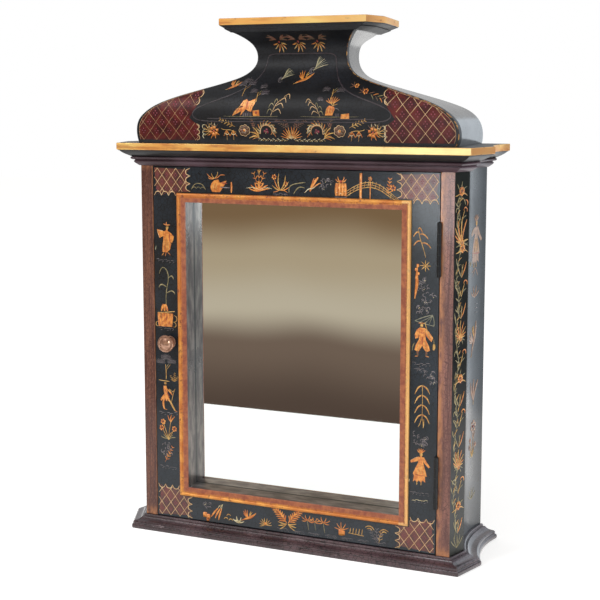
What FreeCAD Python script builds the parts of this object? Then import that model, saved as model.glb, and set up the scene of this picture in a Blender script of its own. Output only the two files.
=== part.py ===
import FreeCAD, Part
import math
import os

# Mirrored wall or dressing-table cabinet: a flush hinged door with a recessed mirror, a case with
# canted front corners and scooped sides, a moulded plinth and cornice, and a hollow bell-shaped
# pediment under a small cap. Lengths are millimetres. X runs to the right, Y back towards the
# wall and Z up, with x = 0 on the centre line, y = 0 on the front of the door and stiles and
# z = 0 on top of the plinth. TO_FRAME then moves every piece, so that the origin is the centre
# of the plinth's underside.

V = FreeCAD.Vector

# How far a cutting tool runs past what it cuts
OVERRUN = 5.0

# Case: half-width at the front corner, then the cant out to its arris and the scoop behind it
CASE_HEIGHT = 476.0
CASE_DEPTH = 130.0
CASE_HALF = 212.0
CANT_OUT = 11.0
CANT_DEPTH = 29.0
SCOOP = 9.7
BACK_IN = 1.5
WAIST_SHARE = 0.485

# Plinth, and how far its moulding stands out of the case
PLINTH_HEIGHT = 18.0
PLINTH_FRONT_OUT = 14.5
PLINTH_CORNER_OUT = 15.0
PLINTH_SIDE_OUT = 22.5
PLINTH_HORN_BACK = 3.0
PLINTH_PROFILE_SHARES = (
    (0.0, 0.94), (0.05, 0.975), (0.12, 1.0), (0.22, 1.0), (0.30, 0.98), (0.355, 0.94),
    (0.39, 0.87), (0.42, 0.88), (0.48, 0.90), (0.54, 0.88), (0.60, 0.81), (0.61, 0.70),
    (0.645, 0.55), (0.70, 0.42), (0.77, 0.34), (0.84, 0.30), (0.85, 0.16), (0.96, 0.16),
    (1.0, 0.12),
)

# Cornice: a square-edged board over a moulding
CORNICE_MOULD = 21.0
CORNICE_BOARD = 9.0
CORNICE_FRONT_OUT = 22.0
CORNICE_CORNER_OUT = 24.0
CORNICE_SIDE_OUT = 29.0
CORNICE_HORN_BACK = 6.0
CORNICE_PROFILE_SHARES = (
    (0.0, 0.06), (0.04, 0.11), (0.10, 0.17), (0.17, 0.25), (0.24, 0.29), (0.295, 0.30),
    (0.315, 0.25), (0.36, 0.25), (0.38, 0.34), (0.42, 0.41), (0.47, 0.44), (0.525, 0.42),
    (0.56, 0.37), (0.58, 0.40), (0.64, 0.50), (0.715, 0.62), (0.80, 0.74), (0.895, 0.84),
    (0.95, 0.88), (0.96, 0.93), (1.0, 0.94),
)
EDGE_EASE = 0.9

# Pediment: its outline as (height, half-width at the front, half-width at the back), and the
# ogee of its face as (height, set back), in shares of its height, half-width and set-back
PEDIMENT_HEIGHT = 140.5
PEDIMENT_HALF = 217.0
PEDIMENT_OUTLINE_SHARES = (
    (0.0, 0.982, 0.986), (0.10, 0.998, 0.991), (0.20, 0.982, 0.972), (0.28, 0.935, 0.924),
    (0.35, 0.862, 0.829), (0.42, 0.744, 0.682), (0.50, 0.578, 0.493), (0.57, 0.440, 0.341),
    (0.64, 0.355, 0.256), (0.72, 0.320, 0.222), (0.82, 0.313, 0.215), (0.90, 0.324, 0.231),
    (0.95, 0.343, 0.270), (1.0, 0.382, 0.327),
)
PEDIMENT_BULGE = 4.4
PEDIMENT_SET_BACK = 45.0
PEDIMENT_FACE_SHARES = (
    (0.0, 0.04), (0.20, 0.01), (0.32, 0.0), (0.36, 0.03), (0.42, 0.12), (0.48, 0.30),
    (0.54, 0.53), (0.60, 0.73), (0.67, 0.91), (0.75, 1.0), (0.83, 0.97), (0.90, 0.83),
    (0.955, 0.58), (1.0, 0.27),
)
PEDIMENT_FRONT_THICK = 13.0
PEDIMENT_SIDE_THICK = 8.0
PEDIMENT_BACK_THICK = 9.0
INSIDE_TOP_OUT = 4.0

# Cap: a core board on the pediment, a moulding round it and a square-edged board on top
CAP_MOULD = 9.0
CAP_BOARD = 8.5
CAP_CORE_FRONT = 7.0
CAP_CORE_CANT_OUT = 2.0
CAP_CORE_CANT_DEPTH = 33.0
CAP_CORE_SCOOP = 4.0
CAP_CORE_BACK_IN = 9.0
CAP_FRONT_OUT = 4.0
CAP_CORNER_OUT = 15.5
CAP_SIDE_OUT = 25.5
CAP_PROFILE_SHARES = (
    (0.0, 0.06), (0.11, 0.15), (0.245, 0.30), (0.40, 0.48), (0.51, 0.58), (0.545, 0.54),
    (0.62, 0.60), (0.755, 0.74), (0.88, 0.86), (0.90, 0.93), (1.0, 0.94),
)

# Inside of the case
STILE_FACE = 16.9
SIDE_LEAST = 12.3
BACK_THICK = 9.0
TOP_BOARD = 12.0
SHELF = 9.0
SHELF_FRONT = 46.0
SHELF_FIT = 0.6
SHELF_SHARES = (0.332, 0.664)
SHELF_PIN_R = 2.5
SHELF_PIN_SHOWS = 8.0
SHELF_PIN_BITE = 9.0
SHELF_PIN_INSET = 14.0

# Door: stiles, tenoned rails and a rebate for the mirror
DOOR_GAP = 1.0
DOOR_THICK = 32.0
DOOR_STILE = 47.1
DOOR_RAIL_TOP = 46.0
DOOR_RAIL_BOTTOM = 44.0
TENON_THICK = 10.0
TENON_LENGTH = 28.0
TENON_SHOULDER = 7.0
TENON_FRONT = 8.0
REBATE = 6.0
MIRROR_SET_BACK = 23.5
MIRROR_THICK = 3.0
BACKING_THICK = 3.0
MIRROR_FIT = 0.5

# Sight moulding round the mirror: an inner slope and an outer bead, as (out, height) shares
SIGHT_WIDTH = 12.0
SIGHT_HEIGHT = 4.2
SIGHT_SLOPE_SHARES = (
    (0.0, 0.0), (0.0, 0.38), (0.10, 0.50), (0.35, 0.60), (0.57, 0.76), (0.60, 0.64),
)
SIGHT_BEAD_SHARES = ((0.60, 0.64), (0.80, 1.0), (1.0, 0.33))

# Knob, as (radius, height) shares of its rim radius and its whole height
KNOB_INSET = 21.7
KNOB_LEVEL_SHARE = 0.507
KNOB_R = 11.5
KNOB_HEIGHT = 14.3
KNOB_PROFILE_SHARES = (
    (0.0, 0.0), (0.54, 0.0), (0.43, 0.13), (0.37, 0.29), (0.40, 0.46), (0.56, 0.59),
    (0.92, 0.66), (1.0, 0.74), (1.0, 0.84), (0.93, 0.91), (0.80, 0.92), (0.74, 0.86),
    (0.67, 0.85), (0.47, 0.94), (0.24, 0.985), (0.0, 1.0),
)
KNOB_PLATE_R = 8.5
KNOB_PLATE = 1.4
KNOB_SCREW_R = 2.0
KNOB_SCREW_BITE = 6.6
KNOB_SCREW_HEAD_R = 4.0
KNOB_SCREW_HEAD = 2.2

# Butt hinges whose knuckles stand proud of the front
HINGE_LENGTH = 64.0
HINGE_FROM_END = 93.4
HINGE_R = 2.75
HINGE_OFF_FACE = 0.25
KNUCKLES = 5
KNUCKLE_GAP = 0.25
LEAF_THICK = 1.4
LEAF_SPACE = 0.6
LEAF_DEPTH = 16.0
PIN_R = 1.4
PIN_CLEARANCE = 0.05
PIN_CAP_R = 2.5
PIN_CAP = 1.4
SCREW_R = 1.5
SCREW_HEAD_R = 2.8
SCREW_LENGTH = 13.0
SCREW_SET_BACK = 9.0
SCREW_FROM_END = 11.0

# Door stops, and a magnetic catch on the left one
STOP_GAP = 1.5
STOP_DEPTH = 9.0
STOP_LAP = 10.1
CATCH_LEVEL_SHARE = 0.6
CATCH_HEIGHT = 40.0
CATCH_WIDTH = 14.0
CATCH_DEPTH = 13.0
MAGNET_WIDTH = 8.0
MAGNET_DEPTH = 4.0
MAGNET_HEIGHT = 30.0
STRIKE_WIDTH = 11.0
STRIKE_THICK = 1.0
STRIKE_HEIGHT = 32.0
STRIKE_SCREW_R = 1.3
STRIKE_SCREW_LENGTH = 11.0
STRIKE_SCREW_FROM_END = 6.0

# Keyhole hanging plates let into the back
HANG_SPREAD_SHARE = 0.6
HANG_DROP = 57.0
HANG_PLATE_WIDTH = 44.0
HANG_PLATE_THICK = 2.0
HANG_PLATE_HEIGHT = 22.0
HANG_HEAD_R = 4.5
HANG_SLOT_R = 2.4
HANG_SLOT_RISE = 6.5
HANG_SLOT_DROP = 1.0
HANG_POCKET = 6.5
HANG_POCKET_R = 5.5
HANG_SCREW_X = 15.5
HANG_SCREW_R = 1.4
HANG_SCREW_HEAD_R = 2.6
HANG_SCREW_LENGTH = 6.5

# Levels and faces worked out from the sizes above
SIDE_TOP = CASE_HEIGHT + CORNICE_MOULD
PEDIMENT_FOOT = SIDE_TOP + CORNICE_BOARD
PEDIMENT_TOP = PEDIMENT_FOOT + PEDIMENT_HEIGHT
CAP_BOARD_FOOT = PEDIMENT_TOP + CAP_MOULD
TOP = CAP_BOARD_FOOT + CAP_BOARD
TO_FRAME = V(0, -(CASE_DEPTH - CORNICE_FRONT_OUT) / 2, PLINTH_HEIGHT)
OPENING_HALF = CASE_HALF - STILE_FACE
INSIDE_HALF = CASE_HALF + CANT_OUT - SCOOP - SIDE_LEAST
BACK_FRONT = CASE_DEPTH - BACK_THICK
DOOR_HALF = OPENING_HALF - DOOR_GAP
DOOR_FOOT = DOOR_GAP
DOOR_TOP = CASE_HEIGHT - DOOR_GAP
SIGHT_HALF = DOOR_HALF - DOOR_STILE
SIGHT_FOOT = DOOR_FOOT + DOOR_RAIL_BOTTOM
SIGHT_TOP = DOOR_TOP - DOOR_RAIL_TOP
BACKING_FRONT = MIRROR_SET_BACK + MIRROR_THICK
BEAD_FRONT = BACKING_FRONT + BACKING_THICK
HINGE_X = OPENING_HALF - DOOR_GAP / 2
HINGE_Y = -HINGE_R - HINGE_OFF_FACE
STOP_FRONT = DOOR_THICK + STOP_GAP
STOP_HALF = OPENING_HALF - STOP_LAP
CATCH_X = -STOP_HALF + CATCH_WIDTH / 2
CATCH_Z = CASE_HEIGHT * CATCH_LEVEL_SHARE
KNOB_X = -DOOR_HALF + KNOB_INSET
KNOB_Z = CASE_HEIGHT * KNOB_LEVEL_SHARE
HANG_X = INSIDE_HALF * HANG_SPREAD_SHARE


def box(x0, x1, y0, y1, z0, z1):
    return Part.makeBox(x1 - x0, y1 - y0, z1 - z0, V(x0, y0, z0))


def prism_z(points, z0, z1):
    loop = [V(x, y, z0) for x, y in points]
    return Part.Face(Part.makePolygon(loop + loop[:1])).extrude(V(0, 0, z1 - z0))


def prism_y(points, y0, y1):
    loop = [V(x, y0, z) for x, z in points]
    return Part.Face(Part.makePolygon(loop + loop[:1])).extrude(V(0, y1 - y0, 0))


def rod_y(x, z, y0, y1, radius):
    return Part.makeCylinder(radius, y1 - y0, V(x, y0, z), V(0, 1, 0))


def rod_z(x, y, z0, z1, radius):
    return Part.makeCylinder(radius, z1 - z0, V(x, y, z0), V(0, 0, 1))


def flip(shape):
    """The same piece on the other side of the centre line."""
    return shape.mirror(V(0, 0, 0), V(1, 0, 0))


def spline(points):
    curve = Part.BSplineCurve()
    curve.interpolate([V(*p) for p in points])
    return curve.toShape()


def cut_all(shape, tools):
    for tool in tools:
        shape = shape.cut(tool)
    return shape


def rounded_end(rod, middle, radius):
    """A short rod with the rim of its end farther from middle rounded over."""
    rims = [e for e in rod.Edges if len(e.Vertexes) == 1]
    rim = max(rims, key=lambda e: e.CenterOfMass.distanceToPoint(middle))
    return rod.makeFillet(radius, [rim])


def half_plan(half, front, cant_out, cant_depth, scoop, back_in):
    """Front corner, arris of the cant, waist of the scoop and back corner, as (x, y)."""
    arris_x = half + cant_out
    arris_y = front + cant_depth
    waist_y = arris_y + (CASE_DEPTH - arris_y) * WAIST_SHARE
    return (
        (half, front), (arris_x, arris_y), (arris_x - scoop, waist_y),
        (arris_x - back_in, CASE_DEPTH),
    )


def plan_outside(plan, front_out, corner_out, side_out, horn_back):
    """The plan moved outwards, with its arris drawn back into a horn."""
    (x0, y0), (x1, y1), (x2, y2), (x3, y3) = plan
    return (
        (x0 + corner_out, y0 - front_out), (x1 + side_out, y1 + horn_back),
        (x2 + side_out, y2), (x3 + side_out, y3),
    )


def blend_plan(inner, outer, share):
    """The half-plan at a share of the way from the inner plan to the outer one."""
    return [
        (a[0] + (b[0] - a[0]) * share, a[1] + (b[1] - a[1]) * share)
        for a, b in zip(inner, outer)
    ]


def plan_wire(plan, z):
    """Front line, right cant, right scoop, back line, left scoop, left cant."""
    front, arris, waist, back = [V(x, y, z) for x, y in plan]
    left_front, left_arris, left_waist, left_back = [V(-x, y, z) for x, y in plan]
    return Part.Wire([
        Part.makeLine(left_front, front),
        Part.makeLine(front, arris),
        Part.Arc(arris, waist, back).toShape(),
        Part.makeLine(back, left_back),
        Part.Arc(left_back, left_waist, left_arris).toShape(),
        Part.makeLine(left_arris, left_front),
    ])


def plan_prism(plan, z0, z1):
    return Part.Face(plan_wire(plan, z0)).extrude(V(0, 0, z1 - z0))


def eased_board(plan, centre, z0, z1):
    """A board whose upper and lower edges are eased towards the centre plan."""
    reach = plan[1][0] - centre[1][0]
    corner_share = 1 - math.sqrt(0.5)
    ease = 1 - EDGE_EASE / reach
    half_ease = 1 - EDGE_EASE * corner_share / reach
    step = EDGE_EASE * corner_share
    levels = (
        (z0, ease), (z0 + step, half_ease), (z0 + EDGE_EASE, 1.0),
        (z1 - EDGE_EASE, 1.0), (z1 - step, half_ease), (z1, ease),
    )
    wires = [plan_wire(blend_plan(centre, plan, share), z) for z, share in levels]
    return Part.makeLoft(wires, True, True)


def moulding(inner, outer, profile_shares, z0, height):
    """Front, left and right lengths of a moulding planted round the inner plan, mitred."""
    wires = [
        plan_wire(blend_plan(inner, outer, out), z0 + height * up) for up, out in profile_shares
    ]
    core = plan_prism(inner, z0 - OVERRUN, z0 + height + OVERRUN)
    ring = Part.makeLoft(wires, True, True).cut(core)
    (x0, y0), (x1, y1) = inner[0], outer[0]
    beyond = (x1 + (x1 - x0), y1 + (y1 - y0))
    within = (x0 - (x1 - x0), y0 - (y1 - y0))
    wedge = [(-beyond[0], beyond[1]), beyond, within, (-within[0], within[1])]
    mitre = prism_z(wedge, z0 - OVERRUN, z0 + height + OVERRUN)
    half = box(0, outer[1][0] + OVERRUN, y1 - OVERRUN, CASE_DEPTH + OVERRUN, z0, z0 + height)
    right = ring.cut(mitre).common(half)
    return {"front": ring.common(mitre), "left": flip(right), "right": right}


def screw(start, way, head_r, shank_r, head, length):
    """A countersunk screw driven along way from a head that lies flush at start."""
    cone = Part.makeCone(head_r, shank_r, head, start, way)
    shank = Part.makeCylinder(shank_r, length - head, start + way * head, way)
    return cone.fuse(shank).removeSplitter()


def hinge(centre):
    """One butt hinge: its leaves, pin and screws, and the seats they need in the wood."""
    z0 = centre - HINGE_LENGTH / 2
    z1 = centre + HINGE_LENGTH / 2
    pitch = HINGE_LENGTH / KNUCKLES
    door_face = HINGE_X - LEAF_SPACE / 2
    case_face = HINGE_X + LEAF_SPACE / 2
    door_x = (door_face - LEAF_THICK, door_face)
    case_x = (case_face, case_face + LEAF_THICK)
    door_leaf = box(*door_x, 0, LEAF_DEPTH, z0, z1)
    case_leaf = box(*case_x, 0, LEAF_DEPTH, z0, z1)
    for k in range(KNUCKLES):
        low = z0 + k * pitch + (KNUCKLE_GAP / 2 if k else 0)
        high = z0 + (k + 1) * pitch - (KNUCKLE_GAP / 2 if k < KNUCKLES - 1 else 0)
        barrel = rod_z(HINGE_X, HINGE_Y, low, high, HINGE_R)
        if k % 2:
            door_leaf = door_leaf.fuse([barrel, box(*door_x, HINGE_Y, 0, low, high)])
        else:
            case_leaf = case_leaf.fuse([barrel, box(*case_x, HINGE_Y, 0, low, high)])
    pin = rod_z(HINGE_X, HINGE_Y, z0, z1, PIN_R)
    case_leaf = case_leaf.removeSplitter().cut(pin)
    bore = rod_z(HINGE_X, HINGE_Y, z0 - OVERRUN, z1 + OVERRUN, PIN_R + PIN_CLEARANCE)
    door_leaf = door_leaf.removeSplitter().cut(bore)
    middle = V(HINGE_X, HINGE_Y, centre)
    for low, high in ((z0 - PIN_CAP, z0), (z1, z1 + PIN_CAP)):
        cap = rod_z(HINGE_X, HINGE_Y, low, high, PIN_CAP_R)
        pin = pin.fuse(rounded_end(cap, middle, PIN_CAP / 2))
    spread = HINGE_LENGTH / 2 - SCREW_FROM_END
    heights = (centre - spread, centre, centre + spread)
    size = (SCREW_HEAD_R, SCREW_R, LEAF_THICK, SCREW_LENGTH)
    door_screws = [screw(V(door_face, SCREW_SET_BACK, z), V(-1, 0, 0), *size) for z in heights]
    case_screws = [screw(V(case_face, SCREW_SET_BACK, z), V(1, 0, 0), *size) for z in heights]
    return {
        "door_leaf": cut_all(door_leaf, door_screws),
        "case_leaf": cut_all(case_leaf, case_screws),
        "pin": pin.removeSplitter(),
        "door_screws": door_screws,
        "case_screws": case_screws,
        "door_seat": box(door_x[0], door_face + OVERRUN, -OVERRUN, LEAF_DEPTH, z0, z1),
        "case_seat": box(case_face - OVERRUN, case_x[1], -OVERRUN, LEAF_DEPTH, z0, z1),
    }


def carcass(plan, hinges):
    """Plinth board, corner posts, side boards, top rail, top board and door stops."""
    (front_x, front_y), (arris_x, arris_y) = plan[0], plan[1]
    post = prism_z(
        [(OPENING_HALF, 0), (front_x, front_y), (arris_x, arris_y), (OPENING_HALF, arris_y)],
        0, SIDE_TOP,
    )
    hinge_cuts = []
    for h in hinges:
        hinge_cuts += [h["case_seat"]] + h["case_screws"]
    behind_post = box(INSIDE_HALF, arris_x + OVERRUN, arris_y, CASE_DEPTH + OVERRUN, 0, SIDE_TOP)
    side = plan_prism(plan, 0, SIDE_TOP).common(behind_post)
    pins = []
    for share in SHELF_SHARES:
        for y in (SHELF_FRONT + SHELF_PIN_INSET, BACK_FRONT - SHELF_PIN_INSET):
            start = V(INSIDE_HALF - SHELF_PIN_SHOWS, y, CASE_HEIGHT * share - SHELF_PIN_R)
            length = SHELF_PIN_SHOWS + SHELF_PIN_BITE
            pins.append(Part.makeCylinder(SHELF_PIN_R, length, start, V(1, 0, 0)))
    side = cut_all(side, pins)
    stop = box(STOP_HALF, INSIDE_HALF, STOP_FRONT, STOP_FRONT + STOP_DEPTH, 0, SIDE_TOP - TOP_BOARD)
    return {
        "plinth_board": plan_prism(plan, -PLINTH_HEIGHT, 0),
        "corner_post_right": cut_all(post, hinge_cuts),
        "corner_post_left": flip(post),
        "side_board_right": side,
        "side_board_left": flip(side),
        "shelf_pins": Part.makeCompound(pins + [flip(pin) for pin in pins]),
        "top_rail": box(-OPENING_HALF, OPENING_HALF, 0, arris_y, CASE_HEIGHT, SIDE_TOP),
        "top_board": box(
            -INSIDE_HALF, INSIDE_HALF, arris_y, BACK_FRONT, SIDE_TOP - TOP_BOARD, SIDE_TOP
        ),
        "door_stop_right": stop,
        "door_stop_left": flip(stop),
    }


def shelves():
    reach = INSIDE_HALF - SHELF_FIT
    made = {}
    for name, share in zip(("shelf_lower", "shelf_upper"), SHELF_SHARES):
        z = CASE_HEIGHT * share
        made[name] = box(-reach, reach, SHELF_FRONT, BACK_FRONT - SHELF_FIT, z, z + SHELF)
    return made


def back_and_hangers():
    """The back panel, with a keyhole plate let into it on each side for a wall screw."""
    back = box(-INSIDE_HALF, INSIDE_HALF, BACK_FRONT, CASE_DEPTH, 0, SIDE_TOP)
    plate_face = CASE_DEPTH - HANG_PLATE_THICK
    pocket_face = CASE_DEPTH - HANG_POCKET
    middle = SIDE_TOP - HANG_DROP
    low = middle - HANG_SLOT_RISE / 2 - HANG_SLOT_DROP
    high = low + HANG_SLOT_RISE
    made = {}
    screws = []
    for name, x in (("keyhole_plate_left", -HANG_X), ("keyhole_plate_right", HANG_X)):
        plate = box(
            x - HANG_PLATE_WIDTH / 2, x + HANG_PLATE_WIDTH / 2, plate_face, CASE_DEPTH,
            middle - HANG_PLATE_HEIGHT / 2, middle + HANG_PLATE_HEIGHT / 2,
        )
        mine = [
            screw(V(x + side * HANG_SCREW_X, CASE_DEPTH, middle), V(0, -1, 0),
                  HANG_SCREW_HEAD_R, HANG_SCREW_R, HANG_PLATE_THICK, HANG_SCREW_LENGTH)
            for side in (-1, 1)
        ]
        pocket = [
            rod_y(x, low, pocket_face, CASE_DEPTH, HANG_POCKET_R),
            rod_y(x, high, pocket_face, CASE_DEPTH, HANG_POCKET_R),
            box(x - HANG_POCKET_R, x + HANG_POCKET_R, pocket_face, CASE_DEPTH, low, high),
        ]
        keyhole = [
            rod_y(x, low, plate_face - OVERRUN, CASE_DEPTH + OVERRUN, HANG_HEAD_R),
            rod_y(x, high, plate_face - OVERRUN, CASE_DEPTH + OVERRUN, HANG_SLOT_R),
            box(x - HANG_SLOT_R, x + HANG_SLOT_R, plate_face - OVERRUN, CASE_DEPTH + OVERRUN,
                low, high),
        ]
        back = cut_all(back, [plate] + pocket + mine)
        made[name] = cut_all(plate, keyhole + mine)
        screws += mine
    made["keyhole_screws"] = Part.makeCompound(screws)
    made["back_panel"] = back
    return made


def catch():
    """A magnet in a housing on the left stop, and its strike plate on the door."""
    magnet = box(
        CATCH_X - MAGNET_WIDTH / 2, CATCH_X + MAGNET_WIDTH / 2, STOP_FRONT,
        STOP_FRONT + MAGNET_DEPTH, CATCH_Z - MAGNET_HEIGHT / 2, CATCH_Z + MAGNET_HEIGHT / 2,
    )
    housing = box(
        CATCH_X - CATCH_WIDTH / 2, CATCH_X + CATCH_WIDTH / 2, STOP_FRONT,
        STOP_FRONT + CATCH_DEPTH, CATCH_Z - CATCH_HEIGHT / 2, CATCH_Z + CATCH_HEIGHT / 2,
    )
    strike_face = DOOR_THICK + STRIKE_THICK
    strike = box(
        CATCH_X - STRIKE_WIDTH / 2, CATCH_X + STRIKE_WIDTH / 2, DOOR_THICK, strike_face,
        CATCH_Z - STRIKE_HEIGHT / 2, CATCH_Z + STRIKE_HEIGHT / 2,
    )
    spread = STRIKE_HEIGHT / 2 - STRIKE_SCREW_FROM_END
    screws = [
        screw(V(CATCH_X, strike_face, CATCH_Z + side * spread), V(0, -1, 0),
              STRIKE_SCREW_R + STRIKE_THICK, STRIKE_SCREW_R, STRIKE_THICK, STRIKE_SCREW_LENGTH)
        for side in (-1, 1)
    ]
    made = {
        "catch_magnet": magnet,
        "catch_housing": housing.cut(magnet),
        "strike_plate": cut_all(strike, screws),
        "strike_screws": Part.makeCompound(screws),
    }
    return made, screws


def outline_at(y):
    """Right outline of the pediment on the plane at this y, as (x, z) from foot to top."""
    back = y / CASE_DEPTH
    return [
        (PEDIMENT_HALF * (f + (b - f) * back), PEDIMENT_FOOT + PEDIMENT_HEIGHT * h)
        for h, f, b in PEDIMENT_OUTLINE_SHARES
    ]


def inset(points, distance):
    """The outline moved inwards along its normals, running straight up above the neck."""
    moved = [(points[0][0] - distance, points[0][1])]
    for before, here, after in zip(points, points[1:], points[2:-1]):
        dx = after[0] - before[0]
        dz = after[1] - before[1]
        length = math.hypot(dx, dz)
        moved.append((here[0] - distance * dz / length, here[1] + distance * dx / length))
    moved.append((moved[-1][0] + INSIDE_TOP_OUT, points[-1][1]))
    return moved


def outline_wire(points, y):
    foot, top = points[0], points[-1]
    edges = [
        Part.makeLine(V(-foot[0], y, foot[1]), V(foot[0], y, foot[1])),
        spline([(x, y, z) for x, z in points]),
        Part.makeLine(V(top[0], y, top[1]), V(-top[0], y, top[1])),
        spline([(-x, y, z) for x, z in points]),
    ]
    return Part.Wire(Part.__sortEdges__(edges))


def outline_loft(distance):
    """A solid of the pediment's outline, narrowing towards the back."""
    wires = []
    for y in (-PEDIMENT_FRONT_THICK, CASE_DEPTH):
        points = outline_at(y)
        wires.append(outline_wire(inset(points, distance) if distance else points, y))
    return Part.makeLoft(wires, True, True)


def behind_face(shift):
    """Everything behind the pediment's face, moved back by shift."""
    wide = PEDIMENT_HALF + OVERRUN
    deep = CASE_DEPTH + OVERRUN
    points = [
        (-wide, PEDIMENT_SET_BACK * set_back - PEDIMENT_BULGE + shift,
         PEDIMENT_FOOT + PEDIMENT_HEIGHT * h)
        for h, set_back in PEDIMENT_FACE_SHARES
    ]
    foot, top = points[0], points[-1]
    loop = [
        spline(points),
        Part.makeLine(V(*top), V(-wide, deep, top[2])),
        Part.makeLine(V(-wide, deep, top[2]), V(-wide, deep, foot[2])),
        Part.makeLine(V(-wide, deep, foot[2]), V(*foot)),
    ]
    return Part.Face(Part.Wire(loop)).extrude(V(2 * wide, 0, 0))


def pediment():
    """A carved front board, two bent side boards and a flat back board round a hollow."""
    outer = outline_loft(0)
    inner = outline_loft(PEDIMENT_SIDE_THICK)
    behind_front = behind_face(PEDIMENT_FRONT_THICK)
    front = outer.common(behind_face(0)).cut(behind_front)
    skins = outer.common(behind_front).cut(inner)
    wide = PEDIMENT_HALF + OVERRUN
    right_half = box(0, wide, -OVERRUN, CASE_DEPTH + OVERRUN, PEDIMENT_FOOT, PEDIMENT_TOP)
    slab = box(
        -wide, wide, CASE_DEPTH - PEDIMENT_BACK_THICK, CASE_DEPTH, PEDIMENT_FOOT, PEDIMENT_TOP
    )
    right = skins.common(right_half)
    return {
        "pediment_front": front,
        "pediment_side_right": right,
        "pediment_side_left": flip(right),
        "pediment_back": inner.common(slab),
    }


def sight_section(at):
    """The sight moulding's section, drawn through at(out, height)."""
    slope = [at(SIGHT_WIDTH * u, SIGHT_HEIGHT * v) for u, v in SIGHT_SLOPE_SHARES]
    bead = [at(SIGHT_WIDTH * u, SIGHT_HEIGHT * v) for u, v in SIGHT_BEAD_SHARES]
    edges = [Part.makeLine(a, b) for a, b in zip(slope, slope[1:])]
    edges.append(Part.Arc(*bead).toShape())
    edges.append(Part.makeLine(bead[-1], at(SIGHT_WIDTH, 0)))
    edges.append(Part.makeLine(at(SIGHT_WIDTH, 0), slope[0]))
    return Part.Face(Part.Wire(edges))


def sight_mouldings():
    """Four mitred lengths planted on the door round the mirror opening."""
    far = SIGHT_WIDTH + OVERRUN
    middle = (SIGHT_TOP + SIGHT_FOOT) / 2
    across = sight_section(lambda out, up: V(-SIGHT_HALF - far, -up, SIGHT_TOP + out))
    across = across.extrude(V(2 * (SIGHT_HALF + far), 0, 0))
    mitre = prism_y(
        [(-SIGHT_HALF, SIGHT_TOP), (SIGHT_HALF, SIGHT_TOP),
         (SIGHT_HALF + far, SIGHT_TOP + far), (-SIGHT_HALF - far, SIGHT_TOP + far)],
        -OVERRUN, OVERRUN,
    )
    top = across.common(mitre)
    upright = sight_section(lambda out, up: V(SIGHT_HALF + out, -up, SIGHT_FOOT - far))
    upright = upright.extrude(V(0, 0, SIGHT_TOP - SIGHT_FOOT + 2 * far))
    mitre = prism_y(
        [(SIGHT_HALF, SIGHT_FOOT), (SIGHT_HALF + far, SIGHT_FOOT - far),
         (SIGHT_HALF + far, SIGHT_TOP + far), (SIGHT_HALF, SIGHT_TOP)],
        -OVERRUN, OVERRUN,
    )
    right = upright.common(mitre)
    return {
        "sight_moulding_top": top,
        "sight_moulding_bottom": top.mirror(V(0, 0, middle), V(0, 0, 1)),
        "sight_moulding_right": right,
        "sight_moulding_left": flip(right),
    }


def knob():
    """Turned knob with a rim, its plate, and the screw that holds both through the door."""
    points = [
        V(KNOB_X + KNOB_R * r, -KNOB_PLATE - KNOB_HEIGHT * h, KNOB_Z)
        for r, h in KNOB_PROFILE_SHARES
    ]
    turned = Part.Face(Part.makePolygon(points + points[:1]))
    turned = turned.revolve(V(KNOB_X, 0, KNOB_Z), V(0, 1, 0), 360)
    middle = V(KNOB_X, 0, KNOB_Z)
    plate = rounded_end(rod_y(KNOB_X, KNOB_Z, -KNOB_PLATE, 0, KNOB_PLATE_R), middle, KNOB_PLATE / 2)
    tip = -KNOB_PLATE - KNOB_SCREW_BITE
    shank = rod_y(KNOB_X, KNOB_Z, tip, DOOR_THICK, KNOB_SCREW_R)
    head = rod_y(KNOB_X, KNOB_Z, DOOR_THICK, DOOR_THICK + KNOB_SCREW_HEAD, KNOB_SCREW_HEAD_R)
    head = rounded_end(head, middle, KNOB_SCREW_HEAD / 2)
    made = {
        "knob": turned.cut(shank),
        "knob_plate": plate.cut(shank),
        "knob_screw": shank.fuse(head).removeSplitter(),
    }
    return made, shank


def door_frame(hinges, lock_cuts):
    """Two stiles and two tenoned rails, rebated at the back for the mirror."""
    rebate = box(
        -SIGHT_HALF - REBATE, SIGHT_HALF + REBATE, MIRROR_SET_BACK, DOOR_THICK + OVERRUN,
        SIGHT_FOOT - REBATE, SIGHT_TOP + REBATE,
    )
    made = {}
    tenons = []
    for place, low, high in (("bottom", DOOR_FOOT, SIGHT_FOOT), ("top", SIGHT_TOP, DOOR_TOP)):
        rail = box(-SIGHT_HALF, SIGHT_HALF, 0, DOOR_THICK, low, high).cut(rebate)
        tenon = box(
            -SIGHT_HALF - TENON_LENGTH, SIGHT_HALF + TENON_LENGTH, TENON_FRONT,
            TENON_FRONT + TENON_THICK, low + TENON_SHOULDER, high - TENON_SHOULDER,
        )
        made["door_rail_" + place] = rail.fuse(tenon).removeSplitter()
        tenons.append(tenon)
    stile = box(SIGHT_HALF, DOOR_HALF, 0, DOOR_THICK, DOOR_FOOT, DOOR_TOP)
    stile = cut_all(stile, [rebate] + tenons)
    hinge_cuts = []
    for h in hinges:
        hinge_cuts += [h["door_seat"]] + h["door_screws"]
    made["door_stile_right"] = cut_all(stile, hinge_cuts)
    made["door_stile_left"] = cut_all(flip(stile), lock_cuts)
    return made


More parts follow.
